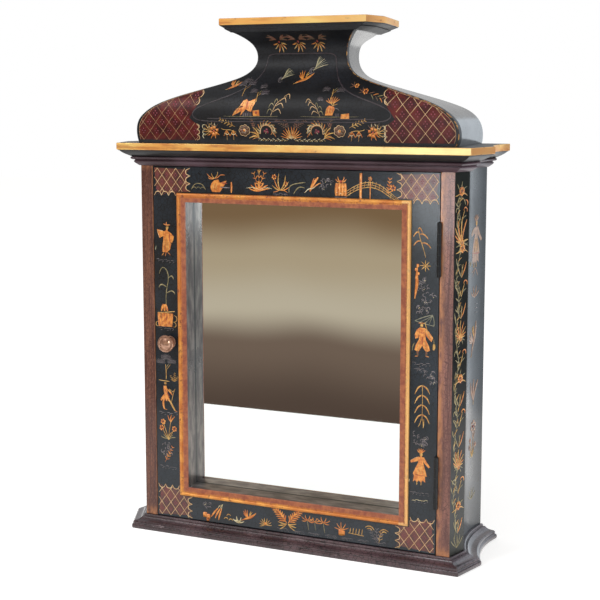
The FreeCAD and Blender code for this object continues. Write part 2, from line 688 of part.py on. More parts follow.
def mirror():
    """The glass, its backing board and the beads that hold both in the rebate."""
    half = SIGHT_HALF + REBATE
    low = SIGHT_FOOT - REBATE
    high = SIGHT_TOP + REBATE
    glass_half = half - MIRROR_FIT
    glass_low = low + MIRROR_FIT
    glass_high = high - MIRROR_FIT
    upright = box(SIGHT_HALF, half, BEAD_FRONT, DOOR_THICK, SIGHT_FOOT, SIGHT_TOP)
    return {
        "mirror_glass": box(
            -glass_half, glass_half, MIRROR_SET_BACK, BACKING_FRONT, glass_low, glass_high
        ),
        "mirror_backing": box(
            -glass_half, glass_half, BACKING_FRONT, BEAD_FRONT, glass_low, glass_high
        ),
        "glass_beads": Part.makeCompound([
            box(-half, half, BEAD_FRONT, DOOR_THICK, low, SIGHT_FOOT),
            box(-half, half, BEAD_FRONT, DOOR_THICK, SIGHT_TOP, high),
            upright,
            flip(upright),
        ]),
    }


def build():
    parts = {}
    hinge_centres = (HINGE_FROM_END, CASE_HEIGHT - HINGE_FROM_END)
    hinges = [hinge(z) for z in hinge_centres]
    for place, h in zip(("lower", "upper"), hinges):
        parts["hinge_door_leaf_" + place] = h["door_leaf"]
        parts["hinge_case_leaf_" + place] = h["case_leaf"]
        parts["hinge_pin_" + place] = h["pin"]
    for side in ("door", "case"):
        screws = [s for h in hinges for s in h[side + "_screws"]]
        parts["hinge_" + side + "_screws"] = Part.makeCompound(screws)

    case = half_plan(CASE_HALF, 0, CANT_OUT, CANT_DEPTH, SCOOP, BACK_IN)
    plinth = plan_outside(
        case, PLINTH_FRONT_OUT, PLINTH_CORNER_OUT, PLINTH_SIDE_OUT, PLINTH_HORN_BACK
    )
    cornice = plan_outside(
        case, CORNICE_FRONT_OUT, CORNICE_CORNER_OUT, CORNICE_SIDE_OUT, CORNICE_HORN_BACK
    )
    cap_half = PEDIMENT_HALF * PEDIMENT_OUTLINE_SHARES[-1][1]
    cap_core = half_plan(
        cap_half, CAP_CORE_FRONT, CAP_CORE_CANT_OUT, CAP_CORE_CANT_DEPTH, CAP_CORE_SCOOP,
        CAP_CORE_BACK_IN,
    )
    cap = plan_outside(cap_core, CAP_FRONT_OUT, CAP_CORNER_OUT, CAP_SIDE_OUT, 0)

    parts.update(carcass(case, hinges))
    parts.update(shelves())
    parts.update(back_and_hangers())
    runs = (
        ("plinth_moulding_", case, plinth, PLINTH_PROFILE_SHARES, -PLINTH_HEIGHT, PLINTH_HEIGHT),
        ("cornice_moulding_", case, cornice, CORNICE_PROFILE_SHARES, CASE_HEIGHT, CORNICE_MOULD),
        ("cap_moulding_", cap_core, cap, CAP_PROFILE_SHARES, PEDIMENT_TOP, CAP_MOULD),
    )
    for name, inner, outer, shares, foot, height in runs:
        for place, piece in moulding(inner, outer, shares, foot, height).items():
            parts[name + place] = piece
    parts["cornice_board"] = eased_board(cornice, case, SIDE_TOP, PEDIMENT_FOOT)
    parts["cap_core"] = plan_prism(cap_core, PEDIMENT_TOP, CAP_BOARD_FOOT)
    parts["cap_board"] = eased_board(cap, cap_core, CAP_BOARD_FOOT, TOP)
    parts.update(pediment())

    catch_parts, strike_screws = catch()
    knob_parts, knob_shank = knob()
    parts.update(catch_parts)
    parts.update(knob_parts)
    parts.update(door_frame(hinges, [knob_shank] + strike_screws))
    parts.update(mirror())
    parts.update(sight_mouldings())
    return parts


os.makedirs("parts", exist_ok=True)
PARTS = build()
for name, shape in PARTS.items():
    placed = shape.copy()
    placed.translate(TO_FRAME)
    placed.exportStep("parts/" + name + ".step")
    size = placed.BoundBox
    low = [round(v, 2) for v in (size.XMin, size.YMin, size.ZMin)]
    high = [round(v, 2) for v in (size.XMax, size.YMax, size.ZMax)]
    print(name, len(placed.Solids), placed.isValid(), round(placed.Volume), low, high)
print(len(PARTS), "parts")
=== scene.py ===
# %% [markdown]
# # A small mirrored cabinet in painted lacquer
#
# The real object is a shallow wooden cabinet. Its boards were sanded, coated with many thin
# layers of dark lacquer and polished, and then figures, plants and lattices were painted on it
# with bronze powder. The CAD model already has every board, moulding and hinge at its true size,
# so this lesson keeps those solids and gives them soft edges, finishes and painted ornament.

# %% Load the CAD model
import math
import random

import bmesh
import bpy
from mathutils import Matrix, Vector
from mathutils.bvhtree import BVHTree


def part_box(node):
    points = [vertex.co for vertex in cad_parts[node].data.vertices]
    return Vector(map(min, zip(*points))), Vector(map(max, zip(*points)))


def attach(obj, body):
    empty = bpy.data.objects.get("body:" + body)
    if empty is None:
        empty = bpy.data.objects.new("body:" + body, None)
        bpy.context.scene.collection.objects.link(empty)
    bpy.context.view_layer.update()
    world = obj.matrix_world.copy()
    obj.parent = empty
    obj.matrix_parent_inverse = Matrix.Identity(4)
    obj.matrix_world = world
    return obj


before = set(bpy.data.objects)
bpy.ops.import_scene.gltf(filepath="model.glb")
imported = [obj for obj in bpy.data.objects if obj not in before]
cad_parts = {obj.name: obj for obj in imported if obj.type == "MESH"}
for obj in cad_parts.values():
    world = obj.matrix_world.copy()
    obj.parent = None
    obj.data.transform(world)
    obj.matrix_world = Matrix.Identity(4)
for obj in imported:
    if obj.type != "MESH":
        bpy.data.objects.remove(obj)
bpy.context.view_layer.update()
MM = 0.001

# %% [markdown]
# ## Tools for colours and nodes
#
# Colours are easiest to write as the hex values that a paint chart gives, but Blender mixes light
# in linear values, so one function converts them. Every finish below is a small tree of nodes, and
# one function adds a node of any kind, sets it and wires it up. A table gives each kind a plain
# word and lists the inputs that are handed to it, so that a finish reads as a few short lines.

# %% Colours
def colour(hex_value):
    """Turns "#rrggbb" into the linear RGBA that Blender's sockets take."""
    parts = [int(hex_value[i:i + 2], 16) / 255 for i in (1, 3, 5)]
    linear = [p / 12.92 if p <= 0.04045 else ((p + 0.055) / 1.055) ** 2.4 for p in parts]
    return (*linear, 1.0)


print("a mid grey is", round(colour("#808080")[0], 3), "as light")

# %% Nodes
# word: (Blender's type, the inputs in the order they are given, the output handed back, settings)
KINDS = {
    "shader": ("ShaderNodeBsdfPrincipled", (), None, {}),
    "material": ("ShaderNodeOutputMaterial", ("Surface",), None, {}),
    "place": ("ShaderNodeTexCoord", (), "Object", {}),
    "facing": ("ShaderNodeTexCoord", (), "Normal", {}),
    "parts": ("ShaderNodeSeparateXYZ", (0,), None, {}),
    "rays": ("ShaderNodeLightPath", (), None, {}),
    "mix": ("ShaderNodeMix", (0, 6, 7), 2, {"data_type": "RGBA"}),
    "ease": ("ShaderNodeMapRange", ("Value", "From Min", "From Max"), 0,
             {"interpolation_type": "SMOOTHSTEP"}),
    "span": ("ShaderNodeMapRange", ("Value", "To Min", "To Max", "From Min", "From Max"), 0, {}),
    "stretch": ("ShaderNodeMapping", ("Vector", "Scale"), 0, {}),
    "noise": ("ShaderNodeTexNoise", ("Vector", "Scale", "Detail", "Roughness"), 0, {}),
    "bump": ("ShaderNodeBump", ("Height", "Strength", "Distance"), 0, {}),
}
for operation in ("ADD", "SUBTRACT", "MULTIPLY", "DIVIDE", "MAXIMUM", "MINIMUM", "ABSOLUTE"):
    KINDS[operation.lower()] = ("ShaderNodeMath", (0, 1), 0, {"operation": operation})


def give(tree, node, inputs):
    """Fills inputs of a node: one given as a socket is wired, and another value is set on it."""
    for name, value in inputs.items():
        if isinstance(value, bpy.types.NodeSocket):
            tree.links.new(value, node.inputs[name])
        else:
            node.inputs[name].default_value = value


def add(tree, kind, *values):
    """Adds a node by its word in KINDS and hands back its output, or the node where that is None.

    "ease" is 0 below its low value and 1 above its high one, with a soft step between them.
    """
    type_name, names, output, settings = KINDS[kind]
    made = tree.nodes.new(type_name)
    for name, value in settings.items():
        setattr(made, name, value)
    give(tree, made, dict(zip(names, values)))
    return made if output is None else made.outputs[output]


print(len(KINDS), "kinds of node")

# %% Patterns in a material
NOISE_ROUGHNESS = 0.6


def new_material(name):
    """A material, its node tree, its shader, and the place on the piece as coordinates."""
    material = bpy.data.materials.new(name)
    material.use_nodes = True
    tree = material.node_tree
    tree.nodes.clear()
    shader = add(tree, "shader")
    add(tree, "material", shader.outputs[0])
    return material, tree, shader, add(tree, "place")


def axis(tree, place, letter):
    """One coordinate of the piece, in millimetres."""
    return add(tree, "divide", add(tree, "parts", place).outputs[letter], MM)


def patches(tree, place, size, detail=3.0, stretch=None):
    """Patches about this many millimetres wide; stretch below 1 draws them out along an axis."""
    if stretch:
        place = add(tree, "stretch", place, stretch)
    return add(tree, "noise", place, 1 / (size * MM), detail, NOISE_ROUGHNESS)


print("patterns ready")

# %% [markdown]
# ## Camera, floor and light
#
# The photograph was taken from the right, at the height of the pediment, with the lens shifted
# down so that upright lines stay nearly parallel. The camera below stands where that view comes
# from. The floor is plain and pale, and two soft lamps and a white world light the lacquer evenly.

# %% Camera
CAMERA_AT = (0.5495, -1.408, 0.5785)
CAMERA_YAW, CAMERA_PITCH = 21.59, -6.82
LENS, SENSOR = 69.9, 36.0
LENS_SHIFT = -0.10

camera_data = bpy.data.cameras.new("camera")
camera_data.lens = LENS
camera_data.sensor_width = SENSOR
camera_data.shift_y = LENS_SHIFT
camera = bpy.data.objects.new("camera", camera_data)
bpy.context.scene.collection.objects.link(camera)
camera.location = CAMERA_AT
camera.rotation_euler = (math.radians(90 + CAMERA_PITCH), 0, math.radians(CAMERA_YAW))
bpy.context.scene.camera = camera
bpy.context.scene.view_settings.view_transform = "Standard"
print("camera at", CAMERA_AT)

# %% [markdown]
# The floor is matt white paper. Its own glow, which soft light doesn't see, keeps it white in the
# view and in the lacquer's gloss, and it still takes the cabinet's shadow. Past a line to the
# right of the cabinet, gloss sees it brighter, as a floor beside a window would be.

# %% Floor
FLOOR_SIZE = 12.0
FLOOR_LIFT = 0.5
WINDOW_GLOW = 0.8
GLOW_FROM, GLOW_FULL = 0.22, 0.34


def staged(name, mesh_maker, material):
    """A piece of the studio, which isn't part of the object."""
    mesh = bpy.data.meshes.new(name)
    shape = bmesh.new()
    mesh_maker(shape)
    shape.to_mesh(mesh)
    shape.free()
    mesh.materials.append(material)
    made = bpy.data.objects.new(name, mesh)
    bpy.context.scene.collection.objects.link(made)
    return made


def floor_sheet(shape):
    """One square."""
    bmesh.ops.create_grid(shape, x_segments=1, y_segments=1, size=FLOOR_SIZE / 2)


floor_paper, tree, shader, place = new_material("floor_paper")
rays = add(tree, "rays").outputs
seen = add(tree, "maximum", rays["Is Camera Ray"], rays["Is Glossy Ray"])
seen = add(tree, "maximum", seen, rays["Is Transmission Ray"])
lift = add(tree, "multiply", seen, FLOOR_LIFT)
beside = add(tree, "ease", add(tree, "parts", place).outputs["X"], GLOW_FROM, GLOW_FULL)
glow = add(tree, "multiply", rays["Is Glossy Ray"], beside)
lift = add(tree, "add", lift, add(tree, "multiply", glow, WINDOW_GLOW))
give(tree, shader, {"Base Color": colour("#f4f3f1"), "Roughness": 0.9,
                    "Specular IOR Level": 0.0, "Emission Color": colour("#ffffff"),
                    "Emission Strength": lift})
staged("floor", floor_sheet, floor_paper)
print("floor", FLOOR_SIZE, "m wide")

# %% World
KINDS["sky"] = ("ShaderNodeBackground", ("Color", "Strength"), 0, {})
KINDS["world"] = ("ShaderNodeOutputWorld", ("Surface",), None, {})
FILL = 0.55
world = bpy.data.worlds.new("studio")
bpy.context.scene.world = world
world.use_nodes = True
tree = world.node_tree
tree.nodes.clear()
rays = add(tree, "rays").outputs
white = add(tree, "maximum", rays["Is Camera Ray"], rays["Is Transmission Ray"])
add(tree, "world", add(tree, "sky", colour("#ffffff"), add(tree, "span", white, FILL, 1.0)))
print("world at", FILL)

# %% Lamps
LIT_POINT = (0.0, 0.0, 0.34)


def softbox(name, at, size, watts):
    """A square lamp with soft edges, turned towards the middle of the cabinet."""
    data = bpy.data.lights.new(name, "AREA")
    data.shape = "SQUARE"
    data.size = size
    data.energy = watts
    lamp = bpy.data.objects.new(name, data)
    bpy.context.scene.collection.objects.link(lamp)
    lamp.location = at
    lamp.rotation_euler = (Vector(LIT_POINT) - Vector(at)).to_track_quat("-Z", "Y").to_euler()


softbox("key_lamp", (-1.5, -1.9, 2.0), 1.1, 38)
softbox("fill_lamp", (2.2, -1.2, 1.3), 1.2, 16)
print("two lamps, aimed", LIT_POINT[2], "m up")

# %% [markdown]
# ## Soft edges
#
# No edge of a lacquered board is razor sharp: sanding and coats of lacquer round it, and the
# round catches the light. The CAD solids arrive as loose triangles with hard edges. A stack of
# modifiers joins them, clears the flat triangles away and bevels what is left, and the bevel can
# carry a second material, because wear starts on the edges.

# %% Smooth shading below an angle
SMOOTH_BELOW = math.radians(28)
KINDS["group input"] = ("NodeGroupInput", (), 0, {})
KINDS["group output"] = ("NodeGroupOutput", (0,), None, {})
KINDS["edge angle"] = ("GeometryNodeInputMeshEdgeAngle", (), "Unsigned Angle", {})
KINDS["above"] = ("FunctionNodeCompare", (0, 1), 0, {"operation": "GREATER_THAN"})
KINDS["smooth faces"] = ("GeometryNodeSetShadeSmooth", ("Geometry", "Shade Smooth"), 0,
                         {"domain": "FACE"})
KINDS["smooth edges"] = ("GeometryNodeSetShadeSmooth", ("Geometry", "Shade Smooth", "Selection"),
                         0, {"domain": "EDGE"})

smooth_group = bpy.data.node_groups.new("smooth_by_angle", "GeometryNodeTree")
for way in ("INPUT", "OUTPUT"):
    smooth_group.interface.new_socket("Geometry", in_out=way, socket_type="NodeSocketGeometry")
source = add(smooth_group, "group input")
sharp = add(smooth_group, "above", add(smooth_group, "edge angle"), SMOOTH_BELOW)
faces = add(smooth_group, "smooth faces", source, True)
add(smooth_group, "group output", add(smooth_group, "smooth edges", faces, False, sharp))
print("smooth below", round(math.degrees(SMOOTH_BELOW)), "degrees")

# %% Edge softening
BEVEL_ABOVE = math.radians(38)
FLAT_BELOW = math.radians(0.4)
WELD_MM = 0.002


def soften(node, width_mm, segments=2, edge_slot=None):
    """Joins a CAD node's triangles, bevels its edges and smooths its curves."""
    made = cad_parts[node]
    weld = made.modifiers.new("weld", "WELD")
    weld.merge_threshold = WELD_MM * MM
    flat = made.modifiers.new("flat", "DECIMATE")
    flat.decimate_type = "DISSOLVE"
    flat.angle_limit = FLAT_BELOW
    bevel = made.modifiers.new("bevel", "BEVEL")
    bevel.width = width_mm * MM
    bevel.segments = segments
    bevel.limit_method = "ANGLE"
    bevel.angle_limit = BEVEL_ABOVE
    bevel.miter_outer = "MITER_ARC"
    if edge_slot is not None:
        bevel.material = edge_slot
    smooth = made.modifiers.new("smooth", "NODES")
    smooth.node_group = smooth_group
    even = made.modifiers.new("even", "WEIGHTED_NORMAL")
    even.keep_sharp = True


def dress(node, *materials):
    """Puts these materials in a CAD node's slots."""
    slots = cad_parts[node].data.materials
    slots.clear()
    for material in materials:
        slots.append(material)


print("bevels above", round(math.degrees(BEVEL_ABOVE)), "degrees")

# %% [markdown]
# ## Lacquer
#
# Lacquered wood is a dark body colour under clear polished coats. Up close it is never even: the
# colour is cloudy, old coats craze into a net of hair-fine cracks, and polishing leaves dull
# patches. Clouds come from a large noise, the net from the edges of Voronoi cells, and the dull
# patches from a noise on the roughness.

# %% Clear coats
KINDS["cells"] = ("ShaderNodeTexVoronoi", ("Vector", "Scale"), "Distance",
                  {"feature": "DISTANCE_TO_EDGE"})
KINDS["move"] = ("ShaderNodeVectorMath", (0, 1), 0, {"operation": "ADD"})
KINDS["resize"] = ("ShaderNodeVectorMath", (0, "Scale"), 0, {"operation": "SCALE"})
# Widths in millimetres. Real cracks and brush marks are finer: these are as coarse as they have
# to be to show.
CLOUD, DULL_PATCH = 70.0, 70.0 / 1.7
CRAZE, CRAZE_BEND, CRACK_SHARE = 5.5, 1.5, 0.07
BRUSH_MARK = 1.6
DULLER_BY = 0.16
COAT_DEPTH, BODY_SHINE, COAT_ROUGH = 0.12, 0.32, 0.14


def polish(tree, shader, place, gloss, craze, relief, coat=0.35):
    """Clear coats over the body colour: dull patches, hair cracks and faint brush marks."""
    rough = add(tree, "span", patches(tree, place, DULL_PATCH), gloss, gloss + DULLER_BY, 0.3, 0.7)
    wander = add(tree, "resize", patches(tree, place, CRAZE * 2), CRAZE_BEND * MM)
    cells = add(tree, "cells", add(tree, "move", place, wander), 1 / (CRAZE * MM))
    crack = add(tree, "ease", cells, 0.0, CRACK_SHARE)
    marks = add(tree, "multiply", patches(tree, place, BRUSH_MARK, 2.0), relief)
    surface = add(tree, "add", add(tree, "multiply", crack, craze), marks)
    give(tree, shader, {"Roughness": rough, "Specular IOR Level": BODY_SHINE,
                        "Coat Weight": coat, "Coat Roughness": COAT_ROUGH,
                        "Normal": add(tree, "bump", surface, 0.5, COAT_DEPTH * MM)})
    return crack


def cloudy(tree, place, dark, light):
    """A body colour that drifts between two tones."""
    drift = add(tree, "ease", patches(tree, place, CLOUD), 0.36, 0.68)
    return add(tree, "mix", drift, colour(dark), colour(light))


print("a net of cracks", CRAZE, "mm wide")

# %% Lacquers
BLACK = ("#141a20", "#232b33")
INSIDE_RED = ("#3f1c1a", "#54261f")
IN_CRACKS = "#0d0c0c"


def lacquer(name, tones, gloss=0.24, craze=0.5, relief=0.5, coat=0.35, scuff=None):
    """A coloured lacquer, near black in its cracks; a scuff shows as long pale rubs."""
    material, tree, shader, place = new_material(name)
    crack = polish(tree, shader, place, gloss, craze, relief, coat)
    body = cloudy(tree, place, *tones)
    if scuff:
        rubs = patches(tree, place, 6, 6.0, (0.25, 1.0, 1.2))
        body = add(tree, "mix", add(tree, "ease", rubs, 0.62, 0.74), body, colour(scuff))
    give(tree, shader, {"Base Color": add(tree, "mix", crack, colour(IN_CRACKS), body)})
    return material


# Black oil lacquer, brushed on and polished: a blue-black that shines softly.
black_lacquer = lacquer("black_lacquer", BLACK)
# The same lacquer on the pediment, dusty and never repolished: matt and a little warmer.
pediment_lacquer = lacquer("pediment_lacquer", ("#15161a", "#22242a"), gloss=0.42, coat=0.06)
# Aubergine lacquer on the plinth's front: rubbed by hands and dusters, so it is scuffed pale.
aubergine_lacquer = lacquer("aubergine_lacquer", ("#3f2d31", "#5d474b"), gloss=0.2, craze=0.3,
                            coat=0.6, scuff="#8d7a7c")
# Nearly the same colour on its side returns, which nothing rubs: they keep a full bright coat.
polished_aubergine = lacquer("polished_aubergine_lacquer", ("#42363d", "#5f5158"), gloss=0.24,
                             craze=0.2, coat=1.0)
# Black lacquer on the pediment's sides, with the same full coat: it reflects pale surroundings.
polished_black = lacquer("polished_black_lacquer", ("#1b1d20", "#2c2d30"), gloss=0.3, craze=0.2,
                         coat=1.0)
# Oil paint inside the case, one plain brushed coat: dark red and dull, with no cracks.
inside_paint = lacquer("inside_oil_paint", INSIDE_RED, gloss=0.5, craze=0.0)
print("five lacquers and the inside paint")

# %% [markdown]
# ## Bare wood
#
# Nobody lacquers what isn't seen. The back is sawn softwood, only stained, and the board behind the
# mirror is left raw. Its grain runs upright, so the noise is drawn out along Z. The back panel is
# one board with two faces, so the depth at which a point lies says which finish it has.

# %% Bare wood
GRAIN, BROAD_GRAIN = 5, 34
GRAIN_DEPTH = 0.1
PANEL_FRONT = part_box("back_panel")[0].y / MM


def bare_wood(name, light, dark):
    """Sawn softwood with an upright grain, never varnished: dull, with fine ridges."""
    material, tree, shader, place = new_material(name)
    grain = patches(tree, place, GRAIN, 5.0, (1.0, 1.0, 0.025))
    broad = patches(tree, place, BROAD_GRAIN, 2.0, (1.0, 1.0, 0.10))
    tone = add(tree, "add", add(tree, "multiply", grain, 0.5), add(tree, "multiply", broad, 0.5))
    body = add(tree, "mix", add(tree, "ease", tone, 0.30, 0.70), colour(dark), colour(light))
    give(tree, shader, {"Base Color": body, "Roughness": 0.75,
                        "Normal": add(tree, "bump", grain, 0.5, GRAIN_DEPTH * MM)})
    return material, tree, shader, place, body


# Softwood under a brown stain: dull, in streaks along its grain. Its front is painted inside red.
back_stain, tree, shader, place, body = bare_wood("stained_back_board", "#3d2f25", "#211a16")
behind = add(tree, "ease", axis(tree, place, "Y"), PANEL_FRONT + 0.2, PANEL_FRONT + 0.6)
body = add(tree, "mix", behind, cloudy(tree, place, *INSIDE_RED), body)
give(tree, shader, {"Base Color": body})
# Raw pine, yellowed by age.
backing_board = bare_wood("pine_backing_board", "#a07a50", "#77573a")[0]
print("painted inside, stained from", round(PANEL_FRONT, 1), "mm back")

# %% Case lacquer
# Black lacquer outside and red paint inside, on the plinth's board and on both side boards.
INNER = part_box("side_board_right")[0].x / MM
BEHIND_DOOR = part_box("door_stile_left")[1].y / MM
FLOOR_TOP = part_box("plinth_board")[1].z / MM

case_lacquer, tree, shader, place = new_material("case_lacquer")
crack = polish(tree, shader, place, 0.24, 0.5, 0.5)
sideways = add(tree, "absolute", axis(tree, place, "X"))
within = add(tree, "ease", sideways, INNER + 0.6, INNER + 0.2)
deep = add(tree, "ease", axis(tree, place, "Y"), BEHIND_DOOR, BEHIND_DOOR + 0.5)
raised = add(tree, "ease", axis(tree, place, "Z"), FLOOR_TOP - 0.5, FLOOR_TOP - 0.1)
within = add(tree, "multiply", add(tree, "multiply", within, deep), raised)
body = add(tree, "mix", crack, colour(IN_CRACKS), cloudy(tree, place, *BLACK))
body = add(tree, "mix", within, body, cloudy(tree, place, *INSIDE_RED))
give(tree, shader, {"Base Color": body})
print("red between side boards", round(INNER, 1), "mm from the middle")

# %% [markdown]
# ## Reflection cards
#
# A mirror and polished lacquer only look real when they have something to reflect. In a studio
# plain cards are hung round the object for that. The one in front is warm brown and cream, soft
# as a room out of focus, and beside it a paler one stands in for a window. A narrow white strip
# where they meet lights the reveal round the mirror. A small pane, bright in its upper half and
# hung off the floor, puts a haze on the top of the door's right side. Both have edges that fade,
# because a hard edge shows in the mirror. The card at the right goes from bright to near black,
# so that the cant stays dark and the scooped side shows its curve. Only gloss sees the cards:
# they throw no light or shade and never stand in the view.

# %% A card
KINDS["glow"] = ("ShaderNodeEmission", ("Color", "Strength"), None, {})
KINDS["clear"] = ("ShaderNodeBsdfTransparent", (), 0, {})
KINDS["shaders"] = ("ShaderNodeMixShader", (0, 1, 2), None, {})
SOFT_PATCH = 312.5
FADE_RISE = 200


def card(name, start, end, height, tones, softness=0.0, strength=1.0, under=None,
         foot=0.0, feather=0.0):
    """A card that stands on a line from start to end and glows in tones up or along it.

    Its last tones can be kept under a height, it can hang with its foot off the floor, and
    its edges can fade out over a feather in millimetres.
    """
    paper, tree, shader, place = new_material(name + "_paper")
    run = axis(tree, place, "X" if len(tones) == 2 else "Z")
    if softness:
        drift = add(tree, "subtract", patches(tree, place, SOFT_PATCH, 1.0), 0.5)
        run = add(tree, "add", run, add(tree, "multiply", drift, softness))
    tone = colour(tones[0][1])
    for (low, _), (high, shade) in zip(tones, tones[1:]):
        turn = add(tree, "ease", run, low, high)
        if under:
            below = add(tree, "ease", axis(tree, place, "Z"), under + FADE_RISE, under)
            turn = add(tree, "multiply", turn, below)
        tone = add(tree, "mix", turn, tone, colour(shade))
    glow = add(tree, "glow", tone, strength)
    if feather:
        there = 1.0
        for letter, low, high in (("X", start[0] / MM, end[0] / MM),
                                  ("Z", foot / MM, height / MM)):
            run = axis(tree, place, letter)
            there = add(tree, "multiply", there, add(tree, "ease", run, low, low + feather))
            there = add(tree, "multiply", there, add(tree, "ease", run, high, high - feather))
        glow = add(tree, "shaders", there, add(tree, "clear"), glow.outputs[0])
    tree.links.new(glow.outputs[0], shader.outputs[0].links[0].to_socket)
    tree.nodes.remove(shader)

    def standing(shape):
        """A square stood up on the line."""
        bmesh.ops.create_grid(shape, x_segments=1, y_segments=1, size=0.5)
        for vertex in shape.verts:
            along, up = vertex.co.x + 0.5, vertex.co.y + 0.5
            vertex.co = (start[0] + (end[0] - start[0]) * along,
                         start[1] + (end[1] - start[1]) * along, foot + (height - foot) * up)

    hung = staged(name, standing, paper)
    hung.visible_camera = False
    hung.visible_diffuse = False
    hung.visible_shadow = False


print("a card's tones blur over", SOFT_PATCH, "mm")

# %% Five cards
# Places are metres in plan, right and then back. Each tone has its height in millimetres, or its
# distance to the right where there are two.
CARD_LINE, CARD_END, CARD_MEET, CARD_TALL = -0.62, 2.5, 0.04, 2.2
STRIP_LINE, PANE_LINE = -0.60, -0.595

card("front_card", (-CARD_END, CARD_LINE), (CARD_MEET, CARD_LINE), CARD_TALL,
     ((0, "#5a4a41"), (120, "#7a675a"), (190, "#cbbda7"), (290, "#bba88c"), (380, "#84694d"),
      (700, "#57483d")), softness=70.0)
card("window_card", (CARD_MEET, CARD_LINE), (CARD_END, CARD_LINE), CARD_TALL,
     ((0, "#8d9296"), (150, "#4a4543"), (330, "#57524f"), (420, "#d5dde2"), (640, "#c3ccd2"),
      (760, "#57483d")), softness=40.0)
card("right_card", (0.25, 1.00), (0.95, 0.15), 1.6, ((690, "#eaf3fb"), (750, "#141517")),
     strength=1.2, under=560)
card("strip_card", (0.012, STRIP_LINE), (0.168, STRIP_LINE), 0.75,
     ((40, "#e8eff4"), (150, "#c9d2d8")), strength=1.9, feather=36.0)
card("pane_card", (-0.012, PANE_LINE), (0.13, PANE_LINE), 0.495,
     ((335, "#cfd9e0"), (415, "#eef4f8"), (500, "#eef4f8")), strength=12.0, foot=0.335,
     feather=32.0)
print("five cards")

# %% [markdown]
# ## Corner posts
#
# The corner posts have two finishes in one board: red-brown lacquer on the front, rubbed through
# to an ochre undercoat beside the door and at both ends, and black lacquer on the canted corner.
# The board's own width in millimetres says where one stops, so one material holds both.

# %% Corner post lacquer
post_low, post_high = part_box("corner_post_right")
POST_FOOT, POST_HEAD = post_low.z / MM, post_high.z / MM - 13.0
POST_INNER, POST_FACE = post_low.x / MM, post_low.y / MM
CANT_FROM = 212.0

# Red-brown lacquer with long upright streaks, over a fine weave where the ground shows through.
# The right post is painted lighter and pinker than the left, as painted light.
post_lacquer, tree, shader, place = new_material("post_lacquer")
crack = polish(tree, shader, place, 0.26, 0.4, 0.9)
sideways = axis(tree, place, "X")
across = add(tree, "absolute", sideways)
# Painted light: the right post's tones are lighter and pinker than the left's.
right_post_lit_and_rubbed = add(tree, "ease", sideways, -1.0, 1.0)
pale = add(tree, "mix", right_post_lit_and_rubbed, colour("#855642"), colour("#9c6a5c"))
dark = add(tree, "mix", right_post_lit_and_rubbed, colour("#4e302b"), colour("#5d3d39"))
grain = add(tree, "ease", patches(tree, place, 7, 4.0, (3.0, 1.0, 0.12)), 0.3, 0.7)
stain = add(tree, "ease", patches(tree, place, 60, 2.0, (1.0, 1.0, 0.5)), 0.35, 0.65)
streaks = add(tree, "multiply", grain, add(tree, "span", stain, 0.45, 1.0))
body = add(tree, "mix", crack, dark, add(tree, "mix", streaks, dark, pale))
weave = add(tree, "ease", patches(tree, place, 1.1, 2.0, (1.0, 1.0, 0.22)), 0.5, 1.0)
post_body = add(tree, "mix", weave, body, colour("#b58876"))
print("post body, from", round(POST_INNER, 1), "mm out")

# %% Worn places of the corner posts
RUB_LEFT, RUB_RIGHT, RUB_END = 0.8, 9.0, 16.0

up = axis(tree, place, "Z")
to_end = add(tree, "minimum", add(tree, "subtract", up, POST_FOOT),
             add(tree, "subtract", POST_HEAD, up))
near_end = add(tree, "ease", to_end, RUB_END, 0.0)
rub_wide = add(tree, "span", right_post_lit_and_rubbed, RUB_LEFT, RUB_RIGHT)
reach = add(tree, "divide", add(tree, "subtract", across, POST_INNER), rub_wide)
near_door = add(tree, "ease", reach, 1.0, 0.1)
on_face = add(tree, "ease", axis(tree, place, "Y"), POST_FACE + 4, POST_FACE + 1)
patchy = add(tree, "ease", patches(tree, place, 5, 5.0, (1.0, 1.0, 0.35)), 0.30, 0.62)
rubbed = add(tree, "multiply", add(tree, "maximum", near_end, near_door), patchy)
rubbed = add(tree, "multiply", rubbed, on_face)
worn = add(tree, "mix", rubbed, post_body, colour("#b97c52"))
cant = add(tree, "ease", across, CANT_FROM - 0.3, CANT_FROM + 0.3)
body = add(tree, "mix", cant, worn, cloudy(tree, place, "#0a0c0d", "#151a13"))
give(tree, shader, {"Base Color": body, "Specular IOR Level": 0.24,
                    "Coat Weight": add(tree, "span", cant, 0.35, 0.1)})
print("rubbed", RUB_RIGHT, "mm wide at the right and", RUB_END, "mm at the ends")

# %% [markdown]
# ## Gilding
#
# The gilt edges are bronze powder or leaf over an ochre-red ground. Handling rubs it away, mostly
# along the arrises, so brown and red show through in streaks. Leaf is a metal, and the ground is
# not, so one mask drives both the colour and the metallic value.

# %% Leaf over a ground
STREAK = 9.0


def gild(tree, shader, place, tones, bare_from, bare_to, stretch):
    """Leaf that varies from bright to deep, rubbed through to its ground in streaks.

    It sets the roughness and grain, and hands back the colour and how much of it is metal.
    """
    bright, deep, ground = (colour(tone) for tone in tones)
    tone = add(tree, "ease", patches(tree, place, STREAK / 0.45, 4.0, stretch), 0.35, 0.65)
    leaf = add(tree, "mix", tone, bright, deep)
    drift = add(tree, "ease", patches(tree, place, 120, 1.0), 0.42, 0.66)
    leaf = add(tree, "mix", add(tree, "multiply", drift, 0.7), leaf, deep)
    bare = patches(tree, place, STREAK / 1.6, 6.0, stretch)
    bare = add(tree, "ease", bare, bare_from, bare_to)
    surface = add(tree, "add", patches(tree, place, 0.9), add(tree, "multiply", bare, -0.8))
    give(tree, shader, {"Roughness": add(tree, "span", bare, 0.36, 0.55),
                        "Normal": add(tree, "bump", surface, 0.4, 0.1 * MM)})
    return add(tree, "mix", bare, leaf, ground), add(tree, "span", bare, 0.3, 0.03)


print("streaks about", STREAK, "mm long")
